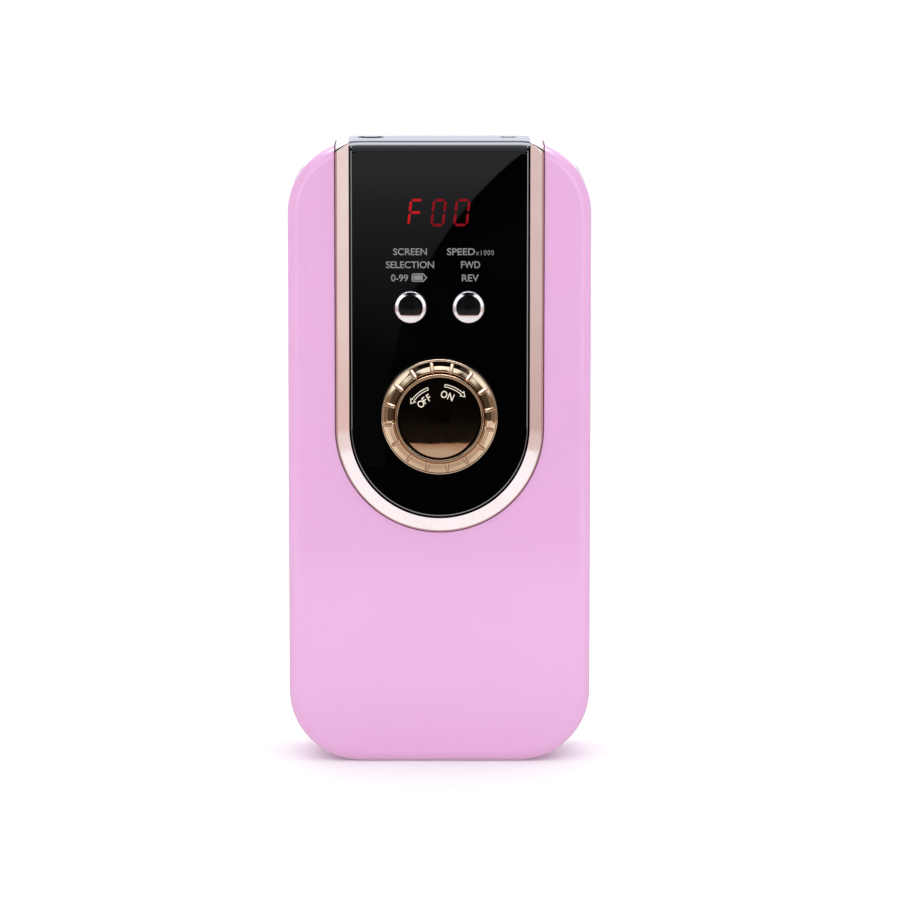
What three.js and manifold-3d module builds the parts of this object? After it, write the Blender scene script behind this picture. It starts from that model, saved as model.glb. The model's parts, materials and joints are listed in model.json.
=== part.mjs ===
// Portable nail-drill control box: a hand-sized battery unit with a display,
// two push buttons and a speed knob. Millimetres, +Z up, front face towards -Y,
// origin on the flat base that the box stands on.

import * as THREE from 'three';
import { mergeVertices } from 'three/addons/utils/BufferGeometryUtils.js';
import Module from 'manifold-3d';

// ---------------------------------------------------------------- dimensions

const QUARTER = Math.PI / 2;

// Casing: a rounded slab, split into a front and a rear moulding.
const CASE = {
  halfWidth: 37.5,
  height: 155.5,
  cornerRadius: 18,
  frontY: -14,
  rearY: 14,
  frontRound: 3,
  rearRound: 8,
  wall: 2.2,
  splitY: 5,
  splitGap: 0.12,
};
const CORNER_STEPS = 7;
const ROUND_STEPS = 3;
const SMALLEST_ROUND = 0.4;

// The front shell has a U-shaped pocket, open at the top edge, that runs over
// the top of the casing to the split. The trim, the panel and the port plate
// lie in it. Radii are those of the half circle at the foot of the U.
const POCKET = { radius: 26.05, depth: 2.2, floor: 1.4, rimWidth: 1.55 };
const U_CENTRE_Z = 84.6;
const U_STEPS = 24;
const ABOVE_TOP = 170;
const TRIM = { outer: 25.6, crest: 25.25, inner: 22.15, proudFront: 0.7, proudTop: 0.3, round: 1.2 };
const TRIM_INNER_Y = -13.8;
const TRIM_BACK_INSET = 2.1;
const PANEL = { radius: 21.7, recess: 0.4, topRecess: 0.05, backInset: 1.9 };
const SEAM_Y = -11;
const SEAM_GAP = 0.1;
const TOP_PARTS_END_Y = 4.85;

// Speed knob on the potentiometer shaft.
const KNOB_Z = 87.55;
const KNOB = {
  rim: 14.4,
  hub: 5.2,
  skirt: 12,
  underY: -14.05,
  plateY: -16.2,
  grooveY: -17.2,
  grooveOuter: 11.5,
  boss: 10.15,
  bossY: -18.1,
  cap: 10.75,
};
const RIB = { count: 16, phaseDeg: 13.8, radius: 0.6, outer: 13.45, outerY: -16.35, inner: 11.6, innerY: -17.8 };
const KNOB_SIDES = 32;
const SHAFT = { radius: 3, flatX: 2.3, tipY: -17.1, flatEndY: -14.5, rearY: -5.2 };
const BUSHING = { radius: 3.45, bore: 3.05, tipY: -14.3, hole: 3.6 };
const POT = { halfWidth: 4.9, below: 6.5, above: 5, frontY: -10.3 };
const PANEL_KNOB_HOLE = 7.2;

// Push buttons: each cap stands in a hole through the panel and the pocket floor.
const BUTTON = { x: 7.15, z: 114.6, radius: 3.9, hole: 4.15, flange: 4.9, flangeY: -10.3, rearY: -9.5 };
const SWITCH = { half: 3, frontY: -7.6, boreRadius: 1.9, boreEndY: -5.8 };
const PLUNGER = { radius: 1.75, frontY: -9.42, rearY: -6.7 };

// Display: a three-digit module behind the panel.
const DISPLAY = { halfWidth: 9.4, z0: 133.1, z1: 143.1, frontY: -11.7 };

// Main board, upright behind the pocket floor.
const BOARD = { frontY: -4, rearY: -2.4, halfWidth: 27, z0: 74, shoulderZ: 128, neck: 10.5, z1: 148 };
const BOARD_GAP = 0.1;
const ON_BOARD_Y = BOARD.rearY + BOARD_GAP;
const BOARD_SCREW = {
  x: 24,
  lowZ: 78,
  highZ: 124,
  boss: 3,
  pilot: 1.15,
  pilotEndY: -9,
  shank: 1,
  head: 2,
  hole: 1.3,
};

// Box-shaped pieces on the rear of the main board: x0, x1, z0, z1 and height.
const ON_BOARD = {
  microcontroller: [4, 11, 102, 109, 1.2, 'black_plastic'],
  motor_driver: [-12, -5.5, 100, 106.2, 2.3, 'black_plastic'],
  power_inductor: [-20, -10, 110, 120, 4, 'black_plastic'],
  port_header: [-5, 5, 115.2, 119.2, 4.2, 'pale_plastic'],
  battery_header: [-18, -10, 80, 85.6, 3.6, 'pale_plastic'],
};
const CAPACITOR = { x: 16, z: 92, radius: 4, rearY: 7.4 };

// Sockets under the port plate, both on a small board at the back.
const PORT_Y = 0;
const CHARGE = { x: -17.05, mouth: 3.1, floorHole: 3.4, bore: 3.1, z0: 141, pin: 1, pinTopZ: 151.05 };
const HANDPIECE = { x: 17.05, mouth: 1.85, floorHole: 2.3, bore: 1.8, z0: 138.5 };
const SOCKET = { half: 4.5, topZ: 151.4, boreDepth: 9.3 };
const PORT_BOARD = { halfWidth: 23, frontY: 4.65, rearY: 6.25, z0: 137, z1: 150.5 };
const PORT_SCREW = { x: 4, z: 144, boss: 2.5 };
const CABLE = { halfWidth: 3.5, halfThickness: 0.4 };
const CABLE_ROUTE = [[5.4, 136.6], [6.2, 132], [6.4, 124], [4.6, 118.5], [2.7, 117.6]];

// Battery pack in the lower half.
const CELL = { radius: 9.15, x: 9.4, y: 1.2, z0: 7, z1: 72 };
const HOLDER = { halfWidth: 19.8, y0: 2, y1: 11.6, z0: 5, z1: 74, wall: 1.6, clearance: 0.2 };
const LEAD = { radius: 0.6, endY: 5.2, endZ: 83 };
const RED_LEAD = { x: -12.5, startZ: 75.4, bendZ: 78.5 };
const BLACK_LEAD = { x: -15.5, startZ: 77.2, bendZ: 79.5 };

// Casing screws run in from the back, near the four corners.
const CASE_SCREW = { x: 27.5, lowZ: 14.5, highZ: 141, seatY: 9, head: 2.7, shank: 1.3, tipY: -7 };
const POST = { front: 3.2, rear: 3.8, counterbore: 3.1, through: 1.6, pilot: 1.45, pilotEndY: -8 };

// Rubber feet and the blank rating label on the back.
const FOOT = { x: 22, lowZ: 32, highZ: 124, radius: 4, recess: 0.3, proud: 1 };
const LABEL = { halfWidth: 17, z0: 62, z1: 92, recess: 0.3, thickness: 0.2 };

// ----------------------------------------------------------------- materials

const FINISHES = {
  pink_gloss: [0xeab3e0, 0.15, 0],
  rose_chrome: [0xe3c0b8, 0.12, 1],
  black_gloss: [0x08080a, 0.06, 0],
  gold_chrome: [0xc4a080, 0.12, 1],
  button_chrome: [0xefe6e8, 0.08, 1],
  steel: [0xb0b2b5, 0.35, 1],
  brass: [0xc9a85c, 0.35, 1],
  nickel: [0xc9c8c2, 0.3, 1],
  rubber: [0x2a2a2c, 0.85, 0],
  circuit_board: [0x1f6b3a, 0.5, 0],
  black_plastic: [0x1a1a1c, 0.5, 0],
  pale_plastic: [0xe8e6df, 0.5, 0],
  display_grey: [0x3a3a3e, 0.5, 0],
  display_red: [0xd0181c, 0.4, 0],
  adhesive: [0x9c9c98, 0.8, 0],
  cell_wrap: [0x3a6fb0, 0.4, 0],
  foam: [0x33343a, 0.95, 0],
  label_silver: [0xc8c8cc, 0.4, 0],
  red_wire: [0xc02020, 0.5, 0],
  black_wire: [0x161616, 0.5, 0],
};

const materials = {};
for (const [name, [color, roughness, metalness]] of Object.entries(FINISHES)) {
  materials[name] = new THREE.MeshStandardMaterial({ name, color, roughness, metalness });
}

// -------------------------------------------------------------- solid helpers

const wasm = await Module();
wasm.setup();

// Turns a closed three.js geometry into a solid that can be joined and cut.
function solid(geometry) {
  const bare = geometry.clone();
  bare.deleteAttribute('normal');
  bare.deleteAttribute('uv');
  const merged = mergeVertices(bare, 1e-4);
  const mesh = new wasm.Mesh({
    numProp: 3,
    vertProperties: merged.attributes.position.array,
    triVerts: new Uint32Array(merged.index.array),
  });
  return new wasm.Manifold(mesh);
}

// Turns a solid back into a three.js geometry.
function geometryOf(body) {
  const mesh = body.getMesh();
  const geometry = new THREE.BufferGeometry();
  geometry.setAttribute('position', new THREE.BufferAttribute(mesh.vertProperties, 3));
  geometry.setIndex(new THREE.BufferAttribute(mesh.triVerts, 1));
  geometry.computeVertexNormals();
  return geometry;
}

function block(x0, x1, y0, y1, z0, z1) {
  const box = new THREE.BoxGeometry(x1 - x0, y1 - y0, z1 - z0);
  return solid(box.translate((x0 + x1) / 2, (y0 + y1) / 2, (z0 + z1) / 2));
}

// A round bar along Y at (x, z).
function rod(x, z, radius, y0, y1, sides = 16) {
  const bar = new THREE.CylinderGeometry(radius, radius, y1 - y0, sides);
  return solid(bar.translate(x, (y0 + y1) / 2, z));
}

// A round bar along Z at (x, y).
function pillar(x, y, radius, z0, z1, sides = 20) {
  const bar = new THREE.CylinderGeometry(radius, radius, z1 - z0, sides);
  return solid(bar.rotateX(QUARTER).translate(x, y, (z0 + z1) / 2));
}

// Revolves a profile of [radius, height] points, which starts and ends on the
// axis, about local Y. The points are put in the order that faces them out.
function revolve(profile, sides) {
  let area = 0;
  profile.forEach(([r, h], i) => {
    const [nextR, nextH] = profile[(i + 1) % profile.length];
    area += r * nextH - nextR * h;
  });
  const ordered = area > 0 ? profile : [...profile].reverse();
  return new THREE.LatheGeometry(ordered.map(([r, h]) => new THREE.Vector2(r, h)), sides);
}

// A turned piece on an axis along Y at (x, z); heights are Y.
function turned(x, z, profile, sides = 20) {
  return solid(revolve(profile, sides).translate(x, 0, z));
}

// A turned piece on an axis along Z at (x, y); heights are Z.
function turnedUpright(x, y, profile, sides = 20) {
  return solid(revolve(profile, sides).rotateX(QUARTER).translate(x, y, 0));
}

// Joins outlines with the same number of points into one closed solid.
// Each level is [y, outline]; outlines run anticlockwise seen from the front.
function loft(levels) {
  const count = levels[0][1].length;
  const positions = [];
  for (const [y, outline] of levels) {
    for (const point of outline) positions.push(point.x, y, point.y);
  }
  const index = [];
  for (let level = 0; level < levels.length - 1; level += 1) {
    const front = level * count;
    const rear = front + count;
    for (let i = 0; i < count; i += 1) {
      const next = (i + 1) % count;
      index.push(front + i, rear + i, rear + next);
      index.push(front + i, rear + next, front + next);
    }
  }
  const last = (levels.length - 1) * count;
  for (const [a, b, c] of THREE.ShapeUtils.triangulateShape(levels[0][1], [])) {
    index.push(a, b, c);
    index.push(last + a, last + c, last + b);
  }
  const geometry = new THREE.BufferGeometry();
  geometry.setAttribute('position', new THREE.Float32BufferAttribute(positions, 3));
  geometry.setIndex(index);
  return solid(geometry);
}

// The same outline carried straight from y0 to y1.
function prism(outline, y0, y1) {
  return loft([[y0, outline], [y1, outline]]);
}

// ------------------------------------------------------------ casing outlines

// Front outline of the casing, pulled in by inset on every side.
function caseOutline(inset) {
  const points = [];
  const radius = CASE.cornerRadius - inset;
  const x = CASE.halfWidth - CASE.cornerRadius;
  const low = CASE.cornerRadius;
  const high = CASE.height - CASE.cornerRadius;
  const corners = [[x, high, 0], [-x, high, QUARTER], [-x, low, 2 * QUARTER], [x, low, 3 * QUARTER]];
  for (const [cx, cz, start] of corners) {
    for (let k = 0; k <= CORNER_STEPS; k += 1) {
      const angle = start + (QUARTER * k) / CORNER_STEPS;
      points.push(new THREE.Vector2(cx + radius * Math.cos(angle), cz + radius * Math.sin(angle)));
    }
  }
  return points;
}

// The casing's outer form, offset inwards: the side by inset, the front face by
// frontInset, with rounded front and rear edges.
function caseSolid(inset, frontInset = inset, frontRound = CASE.frontRound - inset) {
  const front = Math.max(frontRound, SMALLEST_ROUND);
  const rear = CASE.rearRound - inset;
  const frontY = CASE.frontY + frontInset;
  const rearY = CASE.rearY - inset;
  const levels = [];
  for (let k = 0; k <= ROUND_STEPS; k += 1) {
    const angle = (QUARTER * k) / ROUND_STEPS;
    const y = frontY + front * (1 - Math.cos(angle));
    levels.push([y, caseOutline(inset + front * (1 - Math.sin(angle)))]);
  }
  for (let k = 0; k <= ROUND_STEPS; k += 1) {
    const angle = (QUARTER * k) / ROUND_STEPS;
    const y = rearY - rear * (1 - Math.sin(angle));
    levels.push([y, caseOutline(inset + rear * (1 - Math.cos(angle)))]);
  }
  return loft(levels);
}

// A U outline of the given radius, open upwards past the top of the casing.
function uOutline(radius, topZ = ABOVE_TOP) {
  const points = [new THREE.Vector2(radius, topZ), new THREE.Vector2(-radius, topZ)];
  for (let k = 0; k <= U_STEPS; k += 1) {
    const angle = Math.PI + (Math.PI * k) / U_STEPS;
    points.push(new THREE.Vector2(radius * Math.cos(angle), U_CENTRE_Z + radius * Math.sin(angle)));
  }
  return points;
}

const FAR_FRONT = -30;
const FAR_REAR = 30;

function uPrism(radius, y0 = FAR_FRONT, y1 = FAR_REAR) {
  return prism(uOutline(radius), y0, y1);
}

function slab(y0, y1) {
  return block(-100, 100, y0, y1, -50, 250);
}

const SIDES = [['left', -1], ['right', 1]];
const CORNERS = [
  ['lower_left', -1, 'lowZ'],
  ['lower_right', 1, 'lowZ'],
  ['upper_left', -1, 'highZ'],
  ['upper_right', 1, 'highZ'],
];

// -------------------------------------------------------------------- casing

function frontShell() {
  const outer = caseSolid(0).intersect(slab(FAR_FRONT, CASE.splitY));
  const rim = uPrism(POCKET.radius + POCKET.rimWidth).subtract(caseSolid(POCKET.depth + POCKET.floor));
  let shell = outer.subtract(caseSolid(CASE.wall).subtract(rim));
  for (const [, side, level] of CORNERS) {
    const start = CASE.frontY + 1;
    const bossEnd = BOARD.frontY - BOARD_GAP;
    shell = shell.add(rod(side * CASE_SCREW.x, CASE_SCREW[level], POST.front, start, CASE.splitY));
    shell = shell.add(rod(side * BOARD_SCREW.x, BOARD_SCREW[level], BOARD_SCREW.boss, start, bossEnd));
  }
  shell = shell.subtract(uPrism(POCKET.radius).subtract(caseSolid(POCKET.depth)));
  for (const [, side, level] of CORNERS) {
    const { pilot, pilotEndY } = BOARD_SCREW;
    shell = shell.subtract(rod(side * CASE_SCREW.x, CASE_SCREW[level], POST.pilot, POST.pilotEndY, 6, 16));
    shell = shell.subtract(rod(side * BOARD_SCREW.x, BOARD_SCREW[level], pilot, pilotEndY, 0, 16));
  }
  for (const [, side] of SIDES) {
    shell = shell.subtract(rod(side * BUTTON.x, BUTTON.z, BUTTON.hole, FAR_FRONT, 0));
  }
  const roofZ = CASE.height - 8;
  const topHole = (port) => pillar(port.x, PORT_Y, port.floorHole, roofZ, ABOVE_TOP);
  const window = block(-DISPLAY.halfWidth - 0.3, DISPLAY.halfWidth + 0.3, FAR_FRONT, 0, DISPLAY.z0 - 0.3,
    DISPLAY.z1 + 0.3);
  return shell
    .subtract(rod(0, KNOB_Z, BUSHING.hole, FAR_FRONT, 0))
    .subtract(window)
    .subtract(topHole(CHARGE))
    .subtract(topHole(HANDPIECE));
}

function rearShell() {
  let shell = caseSolid(0).subtract(caseSolid(CASE.wall));
  const postStart = CASE.splitY + CASE.splitGap;
  for (const [, side, level] of CORNERS) {
    shell = shell.add(rod(side * CASE_SCREW.x, CASE_SCREW[level], POST.rear, postStart, CASE.rearY - 1));
  }
  for (const [, side] of SIDES) {
    const { x, z, boss } = PORT_SCREW;
    shell = shell.add(rod(side * x, z, boss, PORT_BOARD.rearY + 0.1, CASE.rearY - 1, 16));
    shell = shell.subtract(rod(side * x, z, BOARD_SCREW.pilot, 0, CASE.rearY - 2, 16));
  }
  for (const [, side, level] of CORNERS) {
    const { seatY } = CASE_SCREW;
    shell = shell.subtract(rod(side * CASE_SCREW.x, CASE_SCREW[level], POST.through, 0, FAR_REAR, 16));
    shell = shell.subtract(rod(side * CASE_SCREW.x, CASE_SCREW[level], POST.counterbore, seatY, FAR_REAR));
    const recessStart = CASE.rearY - FOOT.recess;
    shell = shell.subtract(rod(side * FOOT.x, FOOT[level], FOOT.radius + 0.15, recessStart, FAR_REAR));
  }
  const labelCut = block(-LABEL.halfWidth - 0.3, LABEL.halfWidth + 0.3, CASE.rearY - LABEL.recess, FAR_REAR,
    LABEL.z0 - 0.3, LABEL.z1 + 0.3);
  return shell.subtract(labelCut).intersect(slab(CASE.splitY + CASE.splitGap, FAR_REAR));
}

function trimBezel() {
  const envelope = caseSolid(-TRIM.proudTop, -TRIM.proudFront, TRIM.round);
  const crestY = CASE.frontY - TRIM.proudFront;
  const funnel = loft([
    [crestY - 2, uOutline(TRIM.crest)],
    [crestY, uOutline(TRIM.crest)],
    [TRIM_INNER_Y, uOutline(TRIM.inner - 0.05)],
  ]);
  return uPrism(TRIM.outer)
    .intersect(envelope)
    .subtract(uPrism(TRIM.inner))
    .subtract(caseSolid(TRIM_BACK_INSET))
    .subtract(funnel)
    .intersect(slab(FAR_FRONT, TOP_PARTS_END_Y));
}

// The skin that fills the U inside the trim, from the front over the top.
function panelSkin() {
  return uPrism(PANEL.radius)
    .intersect(caseSolid(PANEL.topRecess, PANEL.recess, CASE.frontRound))
    .subtract(caseSolid(PANEL.backInset));
}

function controlPanel() {
  let panel = panelSkin().intersect(slab(FAR_FRONT, SEAM_Y - SEAM_GAP));
  for (const [, side] of SIDES) {
    panel = panel.subtract(rod(side * BUTTON.x, BUTTON.z, BUTTON.hole, FAR_FRONT, 0));
  }
  return panel.subtract(rod(0, KNOB_Z, PANEL_KNOB_HOLE, FAR_FRONT, 0, 32));
}

function portPlate() {
  return panelSkin()
    .intersect(slab(SEAM_Y, TOP_PARTS_END_Y))
    .intersect(block(-100, 100, -100, 100, CASE.height - 4, ABOVE_TOP))
    .subtract(pillar(CHARGE.x, PORT_Y, CHARGE.mouth, 100, ABOVE_TOP, 28))
    .subtract(pillar(HANDPIECE.x, PORT_Y, HANDPIECE.mouth, 100, ABOVE_TOP));
}

function panelAdhesive() {
  const frontY = CASE.frontY + PANEL.backInset + 0.05;
  const rearY = CASE.frontY + POCKET.depth - 0.05;
  const topZ = CASE.height - 6;
  let sheet = prism(uOutline(PANEL.radius - 0.8, topZ), frontY, rearY);
  sheet = sheet.subtract(block(-DISPLAY.halfWidth - 0.5, DISPLAY.halfWidth + 0.5, -20, 0, DISPLAY.z0 - 0.5,
    DISPLAY.z1 + 0.5));
  for (const [, side] of SIDES) {
    sheet = sheet.subtract(rod(side * BUTTON.x, BUTTON.z, BUTTON.hole + 0.6, -20, 0));
  }
  return sheet.subtract(rod(0, KNOB_Z, PANEL_KNOB_HOLE + 0.4, -20, 0, 32));
}

function casingScrew(side, level) {
  const { seatY, head, shank, tipY } = CASE_SCREW;
  const seat = seatY + 0.05;
  return turned(side * CASE_SCREW.x, CASE_SCREW[level], [
    [0, tipY],
    [shank, tipY + 1.5],
    [shank, seat],
    [head, seat],
    [head, seat + 1.3],
    [head - 0.7, seat + 1.9],
    [0, seat + 1.9],
  ], 20);
}

function rubberFoot(side, level) {
  const start = CASE.rearY - FOOT.recess + 0.02;
  const end = CASE.rearY + FOOT.proud;
  return turned(side * FOOT.x, FOOT[level], [
    [0, start],
    [FOOT.radius, start],
    [FOOT.radius, end - 0.4],
    [FOOT.radius - 0.4, end],
    [0, end],
  ], 20);
}

function ratingLabel() {
  const start = CASE.rearY - LABEL.recess + 0.02;
  return block(-LABEL.halfWidth, LABEL.halfWidth, start, start + LABEL.thickness, LABEL.z0, LABEL.z1);
}

// ---------------------------------------------------------------------- knob

function knobBody() {
  const boreEndY = SHAFT.tipY - 0.2;
  const hubY = SHAFT.flatEndY - 0.1;
  let body = turned(0, KNOB_Z, [
    [0, boreEndY],
    [BUSHING.bore, boreEndY],
    [BUSHING.bore, hubY],
    [KNOB.hub, hubY],
    [KNOB.hub, KNOB.plateY],
    [KNOB.skirt, KNOB.plateY],
    [KNOB.skirt + 0.3, KNOB.underY],
    [KNOB.rim - 0.9, KNOB.underY],
    [KNOB.rim - 0.3, -14.6],
    [KNOB.rim, -15.5],
    [KNOB.rim, -16.1],
    [KNOB.rim - 0.25, -16.35],
    [KNOB.rim - 0.45, -16.25],
    [12.95, -16.45],
    [11.75, -17.65],
    [KNOB.grooveOuter, -17.65],
    [KNOB.grooveOuter, KNOB.grooveY],
    [KNOB.boss, KNOB.grooveY],
    [KNOB.boss, KNOB.bossY],
    [0, KNOB.bossY],
  ], KNOB_SIDES);
  const flat = block(SHAFT.flatX + 0.08, BUSHING.bore + 0.2, boreEndY - 0.2, hubY, KNOB_Z - 2.5, KNOB_Z + 2.5);
  body = body.add(flat);
  const start = new THREE.Vector3(0, RIB.outerY, RIB.outer);
  const end = new THREE.Vector3(0, RIB.innerY, RIB.inner);
  const along = new THREE.Vector3().subVectors(end, start);
  const turn = new THREE.Quaternion().setFromUnitVectors(new THREE.Vector3(0, 1, 0), along.clone().normalize());
  for (let k = 0; k < RIB.count; k += 1) {
    const rib = new THREE.CylinderGeometry(RIB.radius, RIB.radius, along.length(), 6);
    rib.applyQuaternion(turn);
    rib.translate(0, (start.y + end.y) / 2, (start.z + end.z) / 2);
    rib.rotateY(THREE.MathUtils.degToRad(RIB.phaseDeg + (360 * k) / RIB.count));
    body = body.add(solid(rib.translate(0, 0, KNOB_Z)));
  }
  return body;
}

function knobCap() {
  return turned(0, KNOB_Z, [
    [0, KNOB.bossY - 0.05],
    [KNOB.boss + 0.05, KNOB.bossY - 0.05],
    [KNOB.boss + 0.05, KNOB.grooveY - 0.05],
    [KNOB.cap, KNOB.grooveY - 0.05],
    [KNOB.cap, -19.4],
    [KNOB.cap - 0.2, -19.6],
    [KNOB.cap - 0.55, -19.6],
    [KNOB.cap - 0.85, -19.1],
    [6, -19.4],
    [0, -19.58],
  ], KNOB_SIDES);
}

function potentiometerShaft() {
  const bar = rod(0, KNOB_Z, SHAFT.radius, SHAFT.tipY, SHAFT.rearY, 32);
  return bar.subtract(block(SHAFT.flatX, 5, -20, SHAFT.flatEndY, KNOB_Z - 5, KNOB_Z + 5));
}

function potentiometerBody() {
  const rear = BOARD.frontY - BOARD_GAP;
  return block(-POT.halfWidth, POT.halfWidth, POT.frontY, rear, KNOB_Z - POT.below, KNOB_Z + POT.above)
    .add(rod(0, KNOB_Z, BUSHING.radius, BUSHING.tipY, POT.frontY + 1, 32))
    .subtract(rod(0, KNOB_Z, BUSHING.bore, -20, SHAFT.rearY + 0.2, 32));
}

function potentiometerWasher() {
  const y0 = CASE.frontY + POCKET.depth - 0.55;
  return rod(0, KNOB_Z, 5.8, y0, y0 + 0.5).subtract(rod(0, KNOB_Z, BUSHING.radius + 0.1, -20, 0, 32));
}

function potentiometerNut() {
  const y1 = CASE.frontY + POCKET.depth - 0.6;
  return rod(0, KNOB_Z, 5.6, y1 - 1.8, y1, 6).subtract(rod(0, KNOB_Z, BUSHING.radius + 0.1, -20, 0, 32));
}

// ------------------------------------------------------------------- buttons

function buttonCap(side) {
  return turned(side * BUTTON.x, BUTTON.z, [
    [0, -15.05],
    [1.6, -14.97],
    [3.1, -14.75],
    [BUTTON.radius - 0.25, -14.5],
    [BUTTON.radius, -14.1],
    [BUTTON.radius, BUTTON.flangeY],
    [BUTTON.flange, BUTTON.flangeY],
    [BUTTON.flange, BUTTON.rearY],
    [0, BUTTON.rearY],
  ], 24);
}

function switchBody(side) {
  const x = side * BUTTON.x;
  return block(x - SWITCH.half, x + SWITCH.half, SWITCH.frontY, BOARD.frontY - BOARD_GAP, BUTTON.z - SWITCH.half,
    BUTTON.z + SWITCH.half).subtract(rod(x, BUTTON.z, SWITCH.boreRadius, -20, SWITCH.boreEndY));
}

function switchPlunger(side) {
  return rod(side * BUTTON.x, BUTTON.z, PLUNGER.radius, PLUNGER.frontY, PLUNGER.rearY, 12);
}

// --------------------------------------------------------------- electronics

function displayHousing() {
  const { halfWidth, z0, z1, frontY } = DISPLAY;
  return block(-halfWidth, halfWidth, frontY, BOARD.frontY - BOARD_GAP, z0, z1);
}

function displayFace() {
  const { halfWidth, z0, z1, frontY } = DISPLAY;
  return block(-halfWidth + 0.2, halfWidth - 0.2, frontY - 0.3, frontY - 0.05, z0 + 0.2, z1 - 0.2);
}

function mainBoard() {
  const { halfWidth, z0, shoulderZ, neck, z1, frontY, rearY } = BOARD;
  let board = block(-halfWidth, halfWidth, frontY, rearY, z0, shoulderZ)
    .add(block(-neck, neck, frontY, rearY, shoulderZ - 1, z1));
  for (const [, side, level] of CORNERS) {
    board = board.subtract(rod(side * BOARD_SCREW.x, BOARD_SCREW[level], BOARD_SCREW.hole, -10, 10, 16));
  }
  return board;
}

function boardScrew(x, z, headY, direction) {
  const at = (distance) => headY + direction * distance;
  return turned(x, z, [
    [0, at(1.5)],
    [BOARD_SCREW.head, at(1.2)],
    [BOARD_SCREW.head, headY],
    [BOARD_SCREW.shank, headY],
    [BOARD_SCREW.shank, at(-5.4)],
    [0, at(-6)],
  ], 16);
}

function socketBody(port) {
  return block(port.x - SOCKET.half, port.x + SOCKET.half, PORT_Y - SOCKET.half, PORT_Y + SOCKET.half, port.z0,
    SOCKET.topZ).subtract(pillar(port.x, PORT_Y, port.bore, SOCKET.topZ - SOCKET.boreDepth, ABOVE_TOP, 28));
}

function chargeSocketPin() {
  const footZ = SOCKET.topZ - SOCKET.boreDepth + 0.05;
  return turnedUpright(CHARGE.x, PORT_Y, [
    [0, footZ],
    [CHARGE.pin + 0.4, footZ],
    [CHARGE.pin + 0.4, footZ + 0.8],
    [CHARGE.pin, footZ + 0.8],
    [CHARGE.pin, CHARGE.pinTopZ - 0.5],
    [CHARGE.pin - 0.4, CHARGE.pinTopZ],
    [0, CHARGE.pinTopZ],
  ], 16);
}

function portBoard() {
  let board = block(-PORT_BOARD.halfWidth, PORT_BOARD.halfWidth, PORT_BOARD.frontY, PORT_BOARD.rearY,
    PORT_BOARD.z0, PORT_BOARD.z1);
  for (const [, side] of SIDES) {
    board = board.subtract(rod(side * PORT_SCREW.x, PORT_SCREW.z, BOARD_SCREW.hole, 0, 10, 16));
  }
  return board;
}

function capacitor() {
  const { x, z, radius, rearY } = CAPACITOR;
  const bevel = 0.4;
  return turned(x, z, [
    [0, ON_BOARD_Y],
    [radius, ON_BOARD_Y],
    [radius, rearY - bevel],
    [radius - bevel, rearY],
    [0, rearY],
  ]);
}

// A flat ribbon of wires from the port board down to its header.
function portCable() {
  const { halfWidth, halfThickness } = CABLE;
  const section = new THREE.Shape();
  section.moveTo(-halfWidth, -halfThickness);
  section.lineTo(halfWidth, -halfThickness);
  section.lineTo(halfWidth, halfThickness);
  section.lineTo(-halfWidth, halfThickness);
  const route = new THREE.CatmullRomCurve3(CABLE_ROUTE.map(([y, z]) => new THREE.Vector3(0, y, z)));
  return solid(new THREE.ExtrudeGeometry(section, { steps: 14, bevelEnabled: false, extrudePath: route }));
}

// ------------------------------------------------------------------- battery

function batteryCell(side) {
  const { radius, z0, z1 } = CELL;
  return turnedUpright(side * CELL.x, CELL.y, [
    [0, z0],
    [radius - 0.4, z0],
    [radius, z0 + 0.4],
    [radius, z1 - 1],
    [radius - 0.5, z1 - 0.5],
    [3.2, z1 - 0.5],
    [2.8, z1],
    [0, z1],
  ], 20);
}

function batteryHolder() {
  const { halfWidth, y0, y1, z0, z1, wall, clearance } = HOLDER;
  let holder = block(-halfWidth, halfWidth, y0, y1, z0, z1);
  for (const [, side] of SIDES) {
    holder = holder.subtract(
      pillar(side * CELL.x, CELL.y, CELL.radius + clearance, z0 + wall, z1 - wall, 24));
  }
  return holder.intersect(caseSolid(CASE.wall + 0.15));
}

// A round lead from the protection board up to the battery plug.
function batteryLead({ x, startZ, bendZ }) {
  const sides = 8;
  const section = new THREE.Shape();
  for (let k = 0; k < sides; k += 1) {
    const angle = (2 * Math.PI * k) / sides;
    const point = [LEAD.radius * Math.cos(angle), LEAD.radius * Math.sin(angle)];
    if (k === 0) section.moveTo(...point);
    else section.lineTo(...point);
  }
  const route = new THREE.CatmullRomCurve3([
    new THREE.Vector3(x, 8.5, startZ),
    new THREE.Vector3(x, 9, bendZ),
    new THREE.Vector3(x, 8, LEAD.endZ - 1),
    new THREE.Vector3(x, LEAD.endY, LEAD.endZ),
  ]);
  return solid(new THREE.ExtrudeGeometry(section, { steps: 12, bevelEnabled: false, extrudePath: route }));
}

// The plug is mated with the header on the board, a hair's breadth behind it.
function batteryPlug() {
  const [x0, x1, z0, z1, height] = ON_BOARD.battery_header;
  const y0 = ON_BOARD_Y + height + 0.1;
  return block(x0 + 0.4, x1 - 0.4, y0, y0 + 3.5, z0 + 0.3, z1 - 0.3);
}

// ------------------------------------------------------------------ assembly

const assembly = new THREE.Group();
assembly.name = 'nail_drill_control_box';

function piece(name, body, finish) {
  const mesh = new THREE.Mesh(geometryOf(body), materials[finish]);
  mesh.name = name;
  assembly.add(mesh);
}

piece('front_shell', frontShell(), 'pink_gloss');
piece('rear_shell', rearShell(), 'pink_gloss');
piece('trim_bezel', trimBezel(), 'rose_chrome');
piece('control_panel', controlPanel(), 'black_gloss');
piece('panel_adhesive', panelAdhesive(), 'adhesive');
piece('port_plate', portPlate(), 'black_gloss');
piece('rating_label', ratingLabel(), 'label_silver');

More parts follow.
